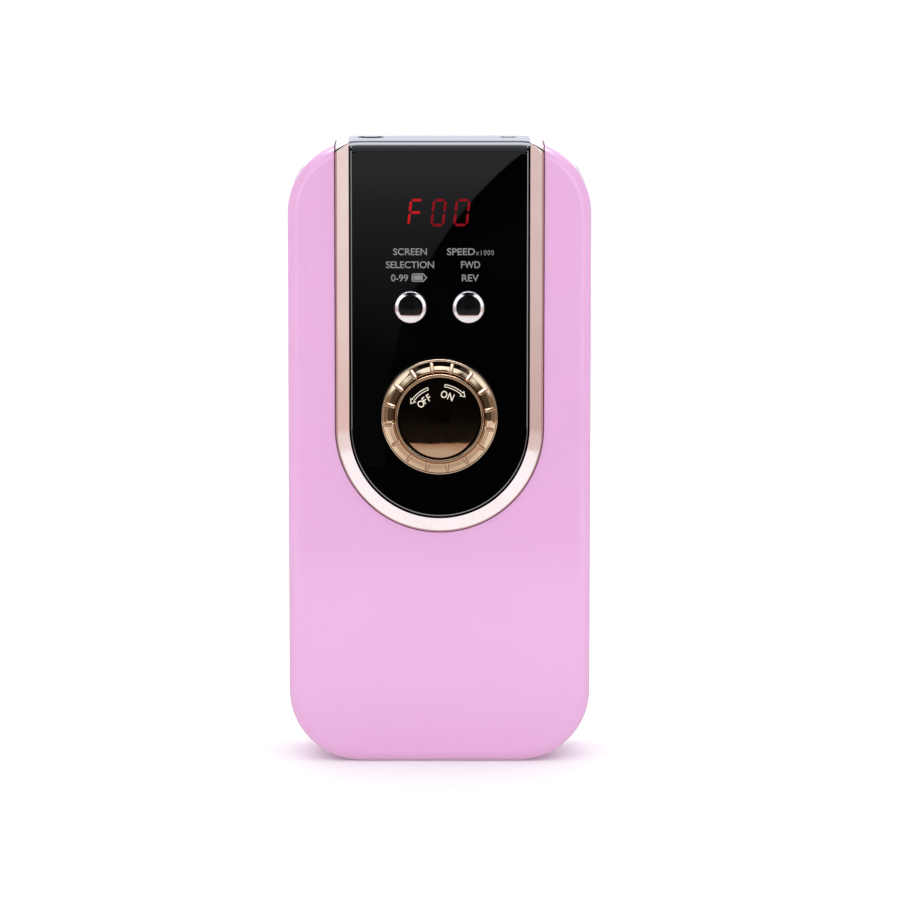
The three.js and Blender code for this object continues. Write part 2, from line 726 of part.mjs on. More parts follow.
piece('knob_body', knobBody(), 'gold_chrome');
piece('knob_cap', knobCap(), 'gold_chrome');
piece('potentiometer_shaft', potentiometerShaft(), 'nickel');
piece('potentiometer_body', potentiometerBody(), 'nickel');
piece('potentiometer_washer', potentiometerWasher(), 'steel');
piece('potentiometer_nut', potentiometerNut(), 'brass');

for (const [name, side] of SIDES) {
  piece(`button_cap_${name}`, buttonCap(side), 'button_chrome');
  piece(`switch_plunger_${name}`, switchPlunger(side), 'black_plastic');
  piece(`switch_body_${name}`, switchBody(side), 'black_plastic');
  piece(`battery_cell_${name}`, batteryCell(side), 'cell_wrap');
  const headY = PORT_BOARD.frontY - 0.05;
  piece(`port_board_screw_${name}`, boardScrew(side * PORT_SCREW.x, PORT_SCREW.z, headY, -1), 'steel');
}

for (const [name, side, level] of CORNERS) {
  const headY = BOARD.rearY + 0.05;
  piece(`casing_screw_${name}`, casingScrew(side, level), 'steel');
  piece(`board_screw_${name}`, boardScrew(side * BOARD_SCREW.x, BOARD_SCREW[level], headY, 1), 'steel');
  piece(`rubber_foot_${name}`, rubberFoot(side, level), 'rubber');
}

piece('display_housing', displayHousing(), 'display_grey');
piece('display_face', displayFace(), 'display_red');
piece('main_board', mainBoard(), 'circuit_board');
piece('port_board', portBoard(), 'circuit_board');
piece('charge_socket', socketBody(CHARGE), 'black_plastic');
piece('charge_socket_pin', chargeSocketPin(), 'brass');
piece('handpiece_socket', socketBody(HANDPIECE), 'black_plastic');

for (const [name, [x0, x1, z0, z1, height, finish]] of Object.entries(ON_BOARD)) {
  piece(name, block(x0, x1, ON_BOARD_Y, ON_BOARD_Y + height, z0, z1), finish);
}
piece('capacitor', capacitor(), 'black_plastic');
piece('port_cable', portCable(), 'black_wire');

piece('battery_plug', batteryPlug(), 'pale_plastic');
piece('battery_holder', batteryHolder(), 'black_plastic');
piece('cell_link_strip', block(-13, 13, -3, 1.8, CELL.z0 - 0.35, CELL.z0 - 0.1), 'nickel');
piece('protection_board', block(-15, 15, 2.4, 11, HOLDER.z1 + 0.2, HOLDER.z1 + 1.2), 'circuit_board');
piece('battery_foam', block(-15, 15, -11.7, -8.1, 18, 54), 'foam');
piece('battery_lead_red', batteryLead(RED_LEAD), 'red_wire');
piece('battery_lead_black', batteryLead(BLACK_LEAD), 'black_wire');

export default assembly;
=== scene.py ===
# Portable nail-drill control box: the looks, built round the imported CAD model.
import json
import math

import bmesh
import bpy
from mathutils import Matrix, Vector


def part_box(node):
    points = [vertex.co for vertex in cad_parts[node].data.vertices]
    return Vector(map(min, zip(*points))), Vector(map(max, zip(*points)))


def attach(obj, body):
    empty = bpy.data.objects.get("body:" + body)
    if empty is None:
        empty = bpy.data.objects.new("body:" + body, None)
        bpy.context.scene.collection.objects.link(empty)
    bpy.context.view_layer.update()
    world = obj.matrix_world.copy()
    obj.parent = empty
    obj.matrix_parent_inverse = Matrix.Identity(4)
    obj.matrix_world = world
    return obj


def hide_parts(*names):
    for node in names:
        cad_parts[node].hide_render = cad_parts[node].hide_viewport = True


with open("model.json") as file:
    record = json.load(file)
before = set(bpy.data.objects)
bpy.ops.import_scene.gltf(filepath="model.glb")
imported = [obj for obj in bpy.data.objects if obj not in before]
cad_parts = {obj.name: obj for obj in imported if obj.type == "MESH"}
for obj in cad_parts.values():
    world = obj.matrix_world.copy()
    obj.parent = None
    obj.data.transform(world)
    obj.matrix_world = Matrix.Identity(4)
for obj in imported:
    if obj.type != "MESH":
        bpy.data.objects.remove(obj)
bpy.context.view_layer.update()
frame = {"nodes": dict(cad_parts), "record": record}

MM = 0.001
PI = math.pi
QUARTER = PI / 2


# ---- node materials

class Nodes:
    """A node tree, and short ways to add nodes to it."""

    def __init__(self, tree):
        self.tree = tree

    def add(self, kind, **settings):
        node = self.tree.nodes.new(kind)
        for key, value in settings.items():
            setattr(node, key, value)
        return node

    def put(self, node, **values):
        """Sets a node's inputs by name, each linked to a node output or given its own value."""
        for key, value in values.items():
            self.feed(node.inputs[key.replace("_", " ")], value)
        return node

    def feed(self, socket, value):
        if isinstance(value, bpy.types.NodeSocket):
            self.tree.links.new(value, socket)
        else:
            socket.default_value = value

    def remap(self, value, lo, hi, to_lo=0.0, to_hi=1.0, smooth=False):
        node = self.add("ShaderNodeMapRange", interpolation_type="SMOOTHSTEP" if smooth else "LINEAR")
        self.put(node, Value=value, From_Min=lo, From_Max=hi, To_Min=to_lo, To_Max=to_hi)
        return node.outputs["Result"]

    def math(self, operation, a, b=0.0):
        node = self.add("ShaderNodeMath", operation=operation)
        self.feed(node.inputs[0], a)
        self.feed(node.inputs[1], b)
        return node.outputs[0]

    def both(self, a, b):
        return self.math("MULTIPLY", a, b)

    def length(self, a, b):
        return self.math("SQRT", self.math("ADD", self.both(a, a), self.both(b, b)))

    def mix(self, factor, a, b):
        node = self.put(self.add("ShaderNodeMix", data_type="RGBA"), Factor=factor, A=a, B=b)
        return node.outputs["Result"]

    def split(self, vector):
        """The three parts of a vector."""
        return self.put(self.add("ShaderNodeSeparateXYZ"), Vector=vector).outputs


class Shader(Nodes):
    """A node material with a Principled surface."""

    def __init__(self, name):
        self.mat = bpy.data.materials.new(name)
        self.mat.use_nodes = True
        super().__init__(self.mat.node_tree)
        self.bsdf = self.tree.nodes["Principled BSDF"]
        self.coords = self.add("ShaderNodeTexCoord").outputs["Object"]

    def stretched(self, scale):
        node = self.put(self.add("ShaderNodeMapping"), Vector=self.coords, Scale=scale)
        return node.outputs["Vector"]

    def noise(self, scale, detail=2.0, rough=0.5, vector=None):
        node = self.add("ShaderNodeTexNoise")
        self.put(node, Vector=vector or self.coords, Scale=scale, Detail=detail, Roughness=rough)
        return node.outputs["Fac"]

    def cells(self, scale, vector=None, feature="F1"):
        node = self.add("ShaderNodeTexVoronoi", feature=feature)
        self.put(node, Vector=vector or self.coords, Scale=scale)
        return node.outputs["Distance"]

    def bump(self, height, strength, distance, **more):
        node = self.add("ShaderNodeBump")
        self.put(node, Height=height, Strength=strength, Distance=distance, **more)
        return node.outputs["Normal"]

    def surface(self, **values):
        self.put(self.bsdf, **values)


def rgb(*values):
    return (*values, 1.0)


def scaled(color, k):
    return rgb(*(min(1.0, max(0.0, c * k)) for c in color))


def moulded_gloss(name, color, gloss=0.16):
    """Polished, pigmented moulding with a faint orange peel and specks."""
    s = Shader(name)
    cloud = s.remap(s.noise(18, 3), 0.3, 0.7)
    shade = s.mix(cloud, scaled(color, 0.985), scaled(color, 1.012))
    speck = s.remap(s.cells(95), 0.0, 0.045, 1.0, 0.0)
    shade = s.mix(s.both(speck, 0.35), shade, scaled(color, 0.6))
    peel = s.bump(s.noise(900, 2), 0.04, 0.00004)
    polish = s.remap(s.noise(60, 4), 0.25, 0.75, gloss - 0.03, gloss + 0.05)
    s.surface(Base_Color=shade, Roughness=polish, Specular_IOR_Level=0.5, Coat_Weight=0.6,
              Coat_Roughness=0.04, IOR=1.5, Normal=peel)
    return s.mat


def plated(name, color, gloss=0.07):
    """Mirror plating over plastic: slight waviness and fine wipe marks."""
    s = Shader(name)
    tone = s.mix(s.remap(s.noise(120, 3), 0.3, 0.7), scaled(color, 0.97), scaled(color, 1.03))
    wipes = s.noise(900, 3, 0.6, s.stretched((1.0, 1.0, 0.12)))
    wave = s.bump(s.noise(160, 1), 0.05, 0.00012)
    fine = s.bump(wipes, 0.03, 0.00002, Normal=wave)
    s.surface(Base_Color=tone, Metallic=1.0, Roughness=s.remap(wipes, 0.35, 0.7, gloss, gloss + 0.06),
              Normal=fine)
    return s.mat


def panel_black(name):
    """Tinted hard-coated sheet: near black, mirror gloss, faint smudges and hairlines."""
    s = Shader(name)
    smudge = s.remap(s.noise(45, 4, 0.6), 0.5, 0.75)
    hair = s.noise(2500, 1, 0.5, s.stretched((0.25, 1.0, 1.0)))
    s.surface(Base_Color=s.mix(smudge, rgb(0.0003, 0.0003, 0.0004), rgb(0.0009, 0.0009, 0.0011)),
              Roughness=s.remap(smudge, 0.0, 1.0, 0.006, 0.016), IOR=1.5, Specular_IOR_Level=0.5,
              Normal=s.bump(hair, 0.01, 0.00001))
    return s.mat


def plain_metal(name, color, rough=0.3, grain=(1.0, 1.0, 0.08)):
    """Turned or rolled metal with a directional grain and dull patches."""
    s = Shader(name)
    streak = s.noise(2200, 3, 0.6, s.stretched(grain))
    patch = s.noise(140, 3)
    tone = s.mix(s.remap(patch, 0.35, 0.7), scaled(color, 0.85), scaled(color, 1.05))
    s.surface(Base_Color=tone, Metallic=1.0, Normal=s.bump(streak, 0.12, 0.00003),
              Roughness=s.remap(streak, 0.3, 0.7, rough - 0.08, rough + 0.12))
    return s.mat


def matte_plastic(name, color, rough=0.5, grain=1400):
    """Spark-eroded moulding texture."""
    s = Shader(name)
    texture = s.noise(grain, 3, 0.6)
    tone = s.mix(s.remap(s.noise(90, 3), 0.3, 0.7), scaled(color, 0.9), scaled(color, 1.1))
    s.surface(Base_Color=tone, Roughness=s.remap(texture, 0.3, 0.7, rough - 0.08, rough + 0.1),
              Normal=s.bump(texture, 0.25, 0.00004))
    return s.mat


def rubber(name, color, rough=0.75):
    """Soft moulded rubber with a fine bloom."""
    s = Shader(name)
    grain = s.noise(1800, 4, 0.7)
    bloom = s.remap(s.noise(220, 4, 0.6), 0.45, 0.8)
    tone = s.mix(bloom, rgb(*color), scaled([c + 0.05 for c in color], 1.0))
    s.surface(Base_Color=tone, Roughness=s.remap(grain, 0.3, 0.7, rough - 0.1, rough + 0.12),
              Normal=s.bump(grain, 0.4, 0.00005))
    return s.mat


def circuit_board(name, color):
    """Solder mask over copper: darker bare board between lighter tracks and pads."""
    s = Shader(name)
    flat = s.stretched((1.0, 0.05, 1.0))
    tracks = s.remap(s.cells(420, flat, "DISTANCE_TO_EDGE"), 0.05, 0.09, 1.0, 0.0)
    pads = s.remap(s.cells(300, flat), 0.1, 0.14, 1.0, 0.0)
    board = s.mix(tracks, scaled(color, 0.7), scaled(color, 1.35))
    board = s.mix(pads, board, rgb(0.62, 0.6, 0.55))
    s.surface(Base_Color=board, Metallic=s.both(pads, 0.8), Roughness=0.35,
              Normal=s.bump(tracks, 0.3, 0.00004))
    return s.mat


def foam(name, color):
    """Open-cell foam: pores in a soft ground, with painted shade darkening each pore."""
    s = Shader(name)
    pore_shape_and_shade = s.cells(1100)
    # Painted shade: the colour drops to under half towards each pore's middle.
    s.surface(Base_Color=s.mix(s.remap(pore_shape_and_shade, 0.1, 0.6), scaled(color, 0.45), scaled(color, 1.4)),
              Roughness=0.95, Normal=s.bump(pore_shape_and_shade, 0.8, 0.0002))
    return s.mat


def brushed_label(name, color):
    """Metallised label film, brushed along its width."""
    s = Shader(name)
    streak = s.noise(2600, 3, 0.6, s.stretched((0.03, 1.0, 1.0)))
    tone = s.mix(s.remap(streak, 0.3, 0.7), scaled(color, 0.9), scaled(color, 1.08))
    s.surface(Base_Color=tone, Metallic=0.7, Roughness=s.remap(streak, 0.3, 0.7, 0.28, 0.42),
              Normal=s.bump(streak, 0.08, 0.00002))
    return s.mat


def lit_segment(name, color, power):
    """A lit segment seen through the tinted sheet: it glows under the sheet's own gloss."""
    s = Shader(name)
    uneven = s.remap(s.noise(500, 2), 0.3, 0.7, 0.88, 1.08)
    s.surface(Base_Color=s.mix(uneven, rgb(0.004, 0.0, 0.0), rgb(0.012, 0.0, 0.0)), Roughness=0.03,
              Emission_Color=rgb(*color), Emission_Strength=s.both(uneven, power))
    return s.mat


def printed_ink(name, color, rough=0.25):
    """Screen-printed ink with a slight mottle."""
    s = Shader(name)
    mottle = s.remap(s.noise(3000, 3), 0.3, 0.7)
    s.surface(Base_Color=s.mix(mottle, scaled(color, 0.88), scaled(color, 1.06)), Roughness=rough,
              Normal=s.bump(mottle, 0.1, 0.00002))
    return s.mat


def mirror_cap(name, color):
    """Polished plating on a large smooth face: very slight low waves and faint dust."""
    s = Shader(name)
    dust = s.remap(s.cells(1500), 0.0, 0.06, 1.0, 0.0)
    tone = s.mix(s.remap(s.noise(140, 3), 0.3, 0.7), scaled(color, 0.96), scaled(color, 1.04))
    tone = s.mix(s.both(dust, 0.4), tone, scaled(color, 0.6))
    s.surface(Base_Color=tone, Metallic=1.0, Roughness=s.remap(s.noise(300, 3), 0.3, 0.7, 0.02, 0.06),
              Normal=s.bump(s.noise(230, 2), 0.3, 0.000035))
    return s.mat


PINK = (0.716, 0.39, 0.65)
MAKERS = {
    "pink_gloss": lambda n: moulded_gloss(n, PINK),
    "rose_chrome": lambda n: plated(n, (0.83, 0.64, 0.60), 0.05),
    "black_gloss": panel_black,
    "gold_chrome": lambda n: mirror_cap(n, (0.80, 0.585, 0.41)),
    "button_chrome": lambda n: plated(n, (0.90, 0.84, 0.85), 0.04),
    "steel": lambda n: plain_metal(n, (0.62, 0.62, 0.63)),
    "brass": lambda n: plain_metal(n, (0.76, 0.58, 0.27)),
    "nickel": lambda n: plain_metal(n, (0.68, 0.66, 0.62), 0.25),
    "rubber": lambda n: rubber(n, (0.022, 0.022, 0.024)),
    "circuit_board": lambda n: circuit_board(n, (0.015, 0.10, 0.045)),
    "black_plastic": lambda n: matte_plastic(n, (0.018, 0.018, 0.020)),
    "pale_plastic": lambda n: matte_plastic(n, (0.76, 0.74, 0.68)),
    "display_red": lambda n: lit_segment(n, (0.7, 0.01, 0.02), 0.4),
    "display_grey": lambda n: matte_plastic(n, (0.04, 0.04, 0.045)),
    "adhesive": lambda n: rubber(n, (0.36, 0.36, 0.34), 0.6),
    "cell_wrap": lambda n: matte_plastic(n, (0.04, 0.15, 0.45), 0.3, 500),
    "foam": lambda n: foam(n, (0.04, 0.04, 0.05)),
    "label_silver": lambda n: brushed_label(n, (0.62, 0.62, 0.64)),
    "red_wire": lambda n: rubber(n, (0.55, 0.02, 0.02), 0.5),
    "black_wire": lambda n: rubber(n, (0.02, 0.02, 0.02), 0.5),
}
MATERIALS = {slot: make(slot) for slot, make in MAKERS.items()}
for part in frame["record"]["subparts"]:
    node = frame["nodes"][part["node"]]
    node.data.materials.clear()
    node.data.materials.append(MATERIALS[part["material_slot"]])


# ---- mesh helpers

def mesh_of(verts, faces):
    """A mesh from points in millimetres."""
    mesh = bpy.data.meshes.new("mesh")
    mesh.from_pydata([(x * MM, y * MM, z * MM) for x, y, z in verts], [], faces)
    mesh.validate()
    return mesh


def object_of(mesh, name="tool"):
    obj = bpy.data.objects.new(name, mesh)
    bpy.context.scene.collection.objects.link(obj)
    return obj


def faced_out(mesh):
    """Merges doubled points and turns every face outwards."""
    bm = bmesh.new()
    bm.from_mesh(mesh)
    bmesh.ops.remove_doubles(bm, verts=bm.verts, dist=1e-7)
    bmesh.ops.recalc_face_normals(bm, faces=bm.faces)
    bm.to_mesh(mesh)
    bm.free()
    return mesh


def evaluated(obj):
    """A new mesh of an object as its modifiers leave it."""
    bpy.context.view_layer.update()
    graph = bpy.context.evaluated_depsgraph_get()
    return bpy.data.meshes.new_from_object(obj.evaluated_get(graph))


def combine(target, tool, operation):
    """target becomes target minus, plus or within tool, and the tool is used up."""
    modifier = target.modifiers.new("cut", "BOOLEAN")
    modifier.operation = operation
    modifier.solver = "MANIFOLD"
    modifier.object = tool
    made = evaluated(target)
    target.modifiers.clear()
    target.data = made
    bpy.data.objects.remove(tool)
    return target


def cut(target, *tools):
    for tool in tools:
        combine(target, tool, "DIFFERENCE")
    return target


def joined(target, *tools):
    for tool in tools:
        combine(target, tool, "UNION")
    return target


def within(target, *tools):
    for tool in tools:
        combine(target, tool, "INTERSECT")
    return target


def loft(levels):
    """Joins outlines of equal length into a closed solid; a level is (y, outline)."""
    count = len(levels[0][1])
    verts = [(x, y, z) for y, outline in levels for x, z in outline]
    faces = []
    for level in range(len(levels) - 1):
        a, b = level * count, (level + 1) * count
        faces += [(a + i, b + i, b + (i + 1) % count, a + (i + 1) % count) for i in range(count)]
    faces.append(tuple(range(count)))
    last = (len(levels) - 1) * count
    faces.append(tuple(last + i for i in reversed(range(count))))
    return object_of(faced_out(mesh_of(verts, faces)))


def lathe(x, z, profile, sides=96, upright=False, y=0.0):
    """Turns (radius, height) points, from axis to axis, about Y at (x, z), or about Z at (x, y)."""
    verts, faces, rings = [], [], []
    for radius, height in profile:
        ring = []
        for k in range(1 if radius == 0 else sides):
            angle = 2 * PI * k / sides
            across, along = radius * math.cos(angle), radius * math.sin(angle)
            ring.append(len(verts))
            verts.append((x + across, y + along, height) if upright else (x + across, height, z + along))
        rings.append(ring)
    for a, b in zip(rings, rings[1:]):
        for k in range(sides):
            quad = [a[k % len(a)], a[(k + 1) % len(a)], b[(k + 1) % len(b)], b[k % len(b)]]
            face = tuple(dict.fromkeys(quad))
            if len(face) > 2:
                faces.append(face)
    return object_of(faced_out(mesh_of(verts, faces)))


ROD_SIDES = 64


def rod(x, z, radius, y0, y1):
    return lathe(x, z, [(0, y0), (radius, y0), (radius, y1), (0, y1)], ROD_SIDES)


def pillar(x, y, radius, z0, z1):
    return lathe(x, 0, [(0, z0), (radius, z0), (radius, z1), (0, z1)], ROD_SIDES, True, y)


def rectangle(x0, x1, z0, z1):
    return [(x0, z0), (x1, z0), (x1, z1), (x0, z1)]


def prism(outline, y0, y1):
    return loft([(y0, outline), (y1, outline)])


def block(x0, x1, y0, y1, z0, z1):
    return prism(rectangle(x0, x1, z0, z1), y0, y1)


def arc(cx, cy, radius, start, end, steps):
    """Points of an arc, angles in degrees."""
    points = []
    for k in range(steps + 1):
        angle = math.radians(start + (end - start) * k / steps)
        points.append((cx + radius * math.cos(angle), cy + radius * math.sin(angle)))
    return points


def corner_arcs(x0, x1, z0, z1, radius, steps):
    """An outline of four arcs, centred on the corners of a rectangle."""
    outline = []
    for cx, cz, start in ((x1, z1, 0), (x0, z1, 90), (x0, z0, 180), (x1, z0, 270)):
        outline += arc(cx, cz, radius, start, start + 90, steps)
    return outline


def rounded_rectangle(x0, x1, z0, z1, radius, steps=10):
    return corner_arcs(x0 + radius, x1 - radius, z0 + radius, z1 - radius, radius, steps)


def finish(obj, name, body, slot, stands_for=(), smooth=30.0, material=None):
    """Names, shades and paints a piece, and hangs it on its body. Edges under smooth degrees look round."""
    obj.name = obj.data.name = name
    mesh = obj.data
    bm = bmesh.new()
    bm.from_mesh(mesh)
    bmesh.ops.remove_doubles(bm, verts=bm.verts, dist=2e-7)
    bmesh.ops.dissolve_degenerate(bm, edges=bm.edges, dist=2e-7)
    for face in bm.faces:
        face.smooth = True
    limit = math.radians(smooth)
    for edge in bm.edges:
        edge.smooth = len(edge.link_faces) == 2 and edge.calc_face_angle(PI) < limit
    bm.to_mesh(mesh)
    bm.free()
    weighted = obj.modifiers.new("weighted", "WEIGHTED_NORMAL")
    weighted.keep_sharp = True
    weighted.weight = 100
    obj.data = evaluated(obj)
    obj.modifiers.clear()
    obj.data.name = name
    obj.data.materials.clear()
    obj.data.materials.append(material or MATERIALS[slot])
    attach(obj, body)
    if stands_for:
        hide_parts(*stands_for)


# ---- casing

def mm_box(node):
    low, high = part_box(node)
    return low / MM, high / MM


casing_low, casing_high = mm_box("front_shell")
rear_low, rear_high = mm_box("rear_shell")
HALF_WIDTH = casing_high.x
HEIGHT = rear_high.z
FRONT_Y = casing_low.y
SPLIT_Y = casing_high.y
REAR_START_Y = rear_low.y
REAR_Y = rear_high.y
CORNER = 18.0
FRONT_ROUND = 3.0
REAR_ROUND = 8.0
WALL = 2.2
CORNER_STEPS = 40
EDGE_STEPS = 14
SEAM_BEVEL = 0.15

# The U of the trim and the panel, and the pocket for them in the front moulding.
U_CENTRE_Z = 84.6
U_DEEPEN = 0.45
POCKET = 25.9
POCKET_DEPTH = 2.2
POCKET_WALL = 1.55
POCKET_FLOOR = 1.4

# Radii of holes and bosses, then the depth of a screw's seat and the gap left round inset parts.
BUTTON_HOLE = 4.15
BUSHING_HOLE = 3.6
NUT_HOLE = 7.2
CASE_PORTS = {"charge_socket": 3.4, "handpiece_socket": 2.3}
FRONT_BOSS = 3.2
SCREW_PILOT = 1.45
REAR_BOSS = 3.8
SCREW_HOLE = 1.6
COUNTERBORE = 3.1
HEAD_DEPTH = 1.95
GAP = 0.3

# Limits past every piece, for cutting tools.
FAR = 60.0
ABOVE = 175.0
TALL = 200.0


def case_outline(inset):
    """Front outline of the casing, pulled in by inset on every side."""
    x = HALF_WIDTH - CORNER
    return corner_arcs(-x, x, CORNER, HEIGHT - CORNER, CORNER - inset, CORNER_STEPS)


def case_form(inset, front_inset=None, front_round=None, y_end=None):
    """The casing's outer form, offset inwards, with a rounded front edge, and a rear one without y_end."""
    front_inset = inset if front_inset is None else front_inset
    front = max(FRONT_ROUND - inset if front_round is None else front_round, 0.4)
    front_y, rear_y, rear = FRONT_Y + front_inset, REAR_Y - inset, REAR_ROUND - inset
    angles = [QUARTER * k / EDGE_STEPS for k in range(EDGE_STEPS + 1)]
    turns = [(1 - math.cos(a), 1 - math.sin(a)) for a in angles]
    levels = [(front_y + front * a, case_outline(inset + front * b)) for a, b in turns]
    if y_end is not None:
        return loft(levels + [(y_end, case_outline(inset))])
    return loft(levels + [(rear_y - rear * b, case_outline(inset + rear * a)) for a, b in turns])


def u_bend(radius, steps=96):
    """The U's round end from right to left, U_DEEPEN deeper than a half circle."""
    deepen = 1 + U_DEEPEN / radius
    half_circle = arc(0, U_CENTRE_Z, radius, 0, -180, steps)
    return [(x, U_CENTRE_Z + (z - U_CENTRE_Z) * deepen) for x, z in half_circle]


def u_outline(radius):
    """A U that runs on upwards past the top of the casing."""
    return [(radius, ABOVE), (-radius, ABOVE)] + u_bend(radius)[::-1]


def u_prism(radius, y1=FAR):
    return prism(u_outline(radius), -FAR, y1)


CORNERS = ("lower_left", "lower_right", "upper_left", "upper_right")
SIDES = ("left", "right")


def centre_of(node):
    low, high = mm_box(node)
    return (low + high) / 2


def bored(target, node, radius):
    """target with a hole through its front at a node's axis."""
    at = centre_of(node)
    return cut(target, rod(at.x, at.z, radius, -FAR, 0))


# Front moulding: rounded front edge, a small bevel at the seam, the U pocket.
shell = case_form(0, y_end=SPLIT_Y - SEAM_BEVEL)
shell = joined(shell, loft([(SPLIT_Y - 2, case_outline(0.0)), (SPLIT_Y - SEAM_BEVEL, case_outline(0.0)),
                            (SPLIT_Y, case_outline(SEAM_BEVEL))]))
rim = cut(u_prism(POCKET + POCKET_WALL), case_form(POCKET_DEPTH + POCKET_FLOOR))
shell = cut(shell, cut(case_form(WALL), rim))
for corner in CORNERS:
    at = centre_of("casing_screw_" + corner)
    shell = joined(shell, rod(at.x, at.z, FRONT_BOSS, FRONT_Y + 1, SPLIT_Y))
    shell = cut(shell, rod(at.x, at.z, SCREW_PILOT, FRONT_Y + 6, SPLIT_Y + 1))
shell = cut(shell, cut(u_prism(POCKET), case_form(POCKET_DEPTH)))
for side in SIDES:
    shell = bored(shell, "button_cap_" + side, BUTTON_HOLE)
shell = bored(shell, "potentiometer_nut", BUSHING_HOLE)
low, high = mm_box("display_housing")
shell = cut(shell, block(low.x - GAP, high.x + GAP, -FAR, 0, low.z - GAP, high.z + GAP))
for socket, radius in CASE_PORTS.items():
    at = centre_of(socket)
    shell = cut(shell, pillar(at.x, at.y, radius, HEIGHT - 8, ABOVE))
finish(shell, "front_case", "casing", "pink_gloss", ["front_shell"])

# Rear moulding: generous rear edge, counterbores, foot and label recesses.
back = cut(case_form(0), case_form(WALL))
for corner in CORNERS:
    at = centre_of("casing_screw_" + corner)
    back = joined(back, rod(at.x, at.z, REAR_BOSS, REAR_START_Y, REAR_Y - 1))
back = cut(back, block(-FAR, FAR, -FAR, REAR_START_Y, -FAR, TALL))
for corner in CORNERS:
    at = centre_of("casing_screw_" + corner)
    seat = mm_box("casing_screw_" + corner)[1].y - HEAD_DEPTH
    back = cut(back, rod(at.x, at.z, SCREW_HOLE, 0, FAR))
    back = cut(back, rod(at.x, at.z, COUNTERBORE, seat, FAR))
    low, high = mm_box("rubber_foot_" + corner)
    at, radius = (low + high) / 2, (high.x - low.x) / 2
    back = cut(back, rod(at.x, at.z, radius + GAP / 2, low.y - 0.02, FAR))

LABEL_CORNER = 2.0
label_low, label_high = mm_box("rating_label")


def label_outline(inset):
    return rounded_rectangle(label_low.x + inset, label_high.x - inset, label_low.z + inset,
                             label_high.z - inset, LABEL_CORNER - inset)


back = cut(back, prism(label_outline(-GAP), label_low.y - 0.02, FAR))
# A bevel on the seam edge of the rear moulding.
collar = loft([(REAR_START_Y - 1, case_outline(SEAM_BEVEL * 2)), (REAR_START_Y, case_outline(SEAM_BEVEL)),
               (REAR_START_Y + SEAM_BEVEL, case_outline(0)),
               (REAR_START_Y + SEAM_BEVEL + 0.001, case_outline(-5)), (FAR, case_outline(-5))])
back = within(back, collar)
finish(back, "rear_case", "casing", "pink_gloss", ["rear_shell"])


# ---- front trim

trim_low, trim_high = mm_box("trim_bezel")
CREST_Y = trim_low.y
TRIM_TOP_Z = HEIGHT + 0.19
TRIM_END_Y = trim_high.y
TRIM_BACK_Y = FRONT_Y + 2.1
TRIM_BACK_Z = HEIGHT - 2.1
CREASE = 2.2


def top_height(x, top):
    """Height of the casing's rounded top above x, for a form whose flat top is at top."""
    over = max(abs(x) - (HALF_WIDTH - CORNER), 0.0)
    radius = CORNER + top - HEIGHT
    return HEIGHT - CORNER + math.sqrt(radius * radius - over * over)


# Each point of the section: radius of the U, depth on the front, drop on the top.
TRIM_SECTION = [
    (25.60, TRIM_BACK_Y, TRIM_TOP_Z - TRIM_BACK_Z),
    (25.60, CREST_Y + 0.36, 0.30),
    (25.57, CREST_Y + 0.29, 0.22),
    (25.30, CREST_Y + 0.03, 0.04),
    (25.22, CREST_Y, 0.0),
    (25.14, CREST_Y + 0.03, 0.0),
    (22.35, CREST_Y + 0.828, 0.0),
    (22.33, CREST_Y + 0.88, 0.03),
    (22.33, TRIM_BACK_Y, TRIM_TOP_Z - TRIM_BACK_Z),
]


def trim_leg(side, radius, y, drop):
    """One section point's path up a leg of the U, over the crease and back along the top."""
    x = side * radius
    top = top_height(radius, TRIM_TOP_Z) - drop
    ease = max(0.12, CREASE * (1 - (y - CREST_Y) / 0.95))
    path = [(x, y, z) for z in (U_CENTRE_Z, 100.0, 120.0, 140.0, top - ease - 1)]
    for k in range(11):
        angle = QUARTER * k / 10
        path.append((x, y + ease * (1 - math.cos(angle)), top - ease * (1 - math.sin(angle))))
    path += [(x, y_back, top) for y_back in (-8.0, -3.0, 1.0, TRIM_END_Y)]
    return path


def trim_path(radius, y, drop, steps=120):
    right = trim_leg(1, radius, y, drop)
    left = trim_leg(-1, radius, y, drop)
    bend = [(x, y, z) for x, z in u_bend(radius, steps)[1:-1]]
    return right[::-1] + bend + left


paths = [trim_path(*point) for point in TRIM_SECTION]
around, along = len(paths), len(paths[0])
verts = [path[i] for i in range(along) for path in paths]
faces = [(a + j, a + (j + 1) % around, a + around + (j + 1) % around, a + around + j)
         for a in range(0, (along - 1) * around, around) for j in range(around)]
faces += [tuple(range(around)), tuple((along - 1) * around + j for j in range(around))]
trim = object_of(faced_out(mesh_of(verts, faces)))
finish(trim, "trim", "casing", "rose_chrome", ["trim_bezel"], 18)


# ---- panel and port plate

panel_low, panel_high = mm_box("control_panel")
PANEL_Y = panel_low.y
PANEL_END_Y = panel_high.y
# The sheet is a little larger than the CAD's. Its edge slopes by EDGE_DROP over the width EDGE, and a
# flange behind it, deep enough to be out of sight, reaches the trim, so that no gap shows.
PANEL_GROWTH = 0.12
PANEL_RADIUS = panel_high.x + PANEL_GROWTH
EDGE = 0.24
EDGE_DROP = 0.072
GROOVE_DEPTH = 0.55
FLANGE_Y = PANEL_Y + EDGE + GROOVE_DEPTH
FLANGE_RADIUS = 22.35


def panel_skin():
    """The whole black sheet, over the front and the top of the casing."""
    narrow, wide, flange = u_outline(PANEL_RADIUS - EDGE), u_outline(PANEL_RADIUS), u_outline(FLANGE_RADIUS)
    u_form = loft([(PANEL_Y - 5, narrow), (PANEL_Y, narrow), (PANEL_Y + EDGE_DROP, wide), (FLANGE_Y, wide),
                   (FLANGE_Y, flange), (FAR, flange)])
    return cut(within(u_form, case_form(0.05, 0.4, FRONT_ROUND)), case_form(1.9))


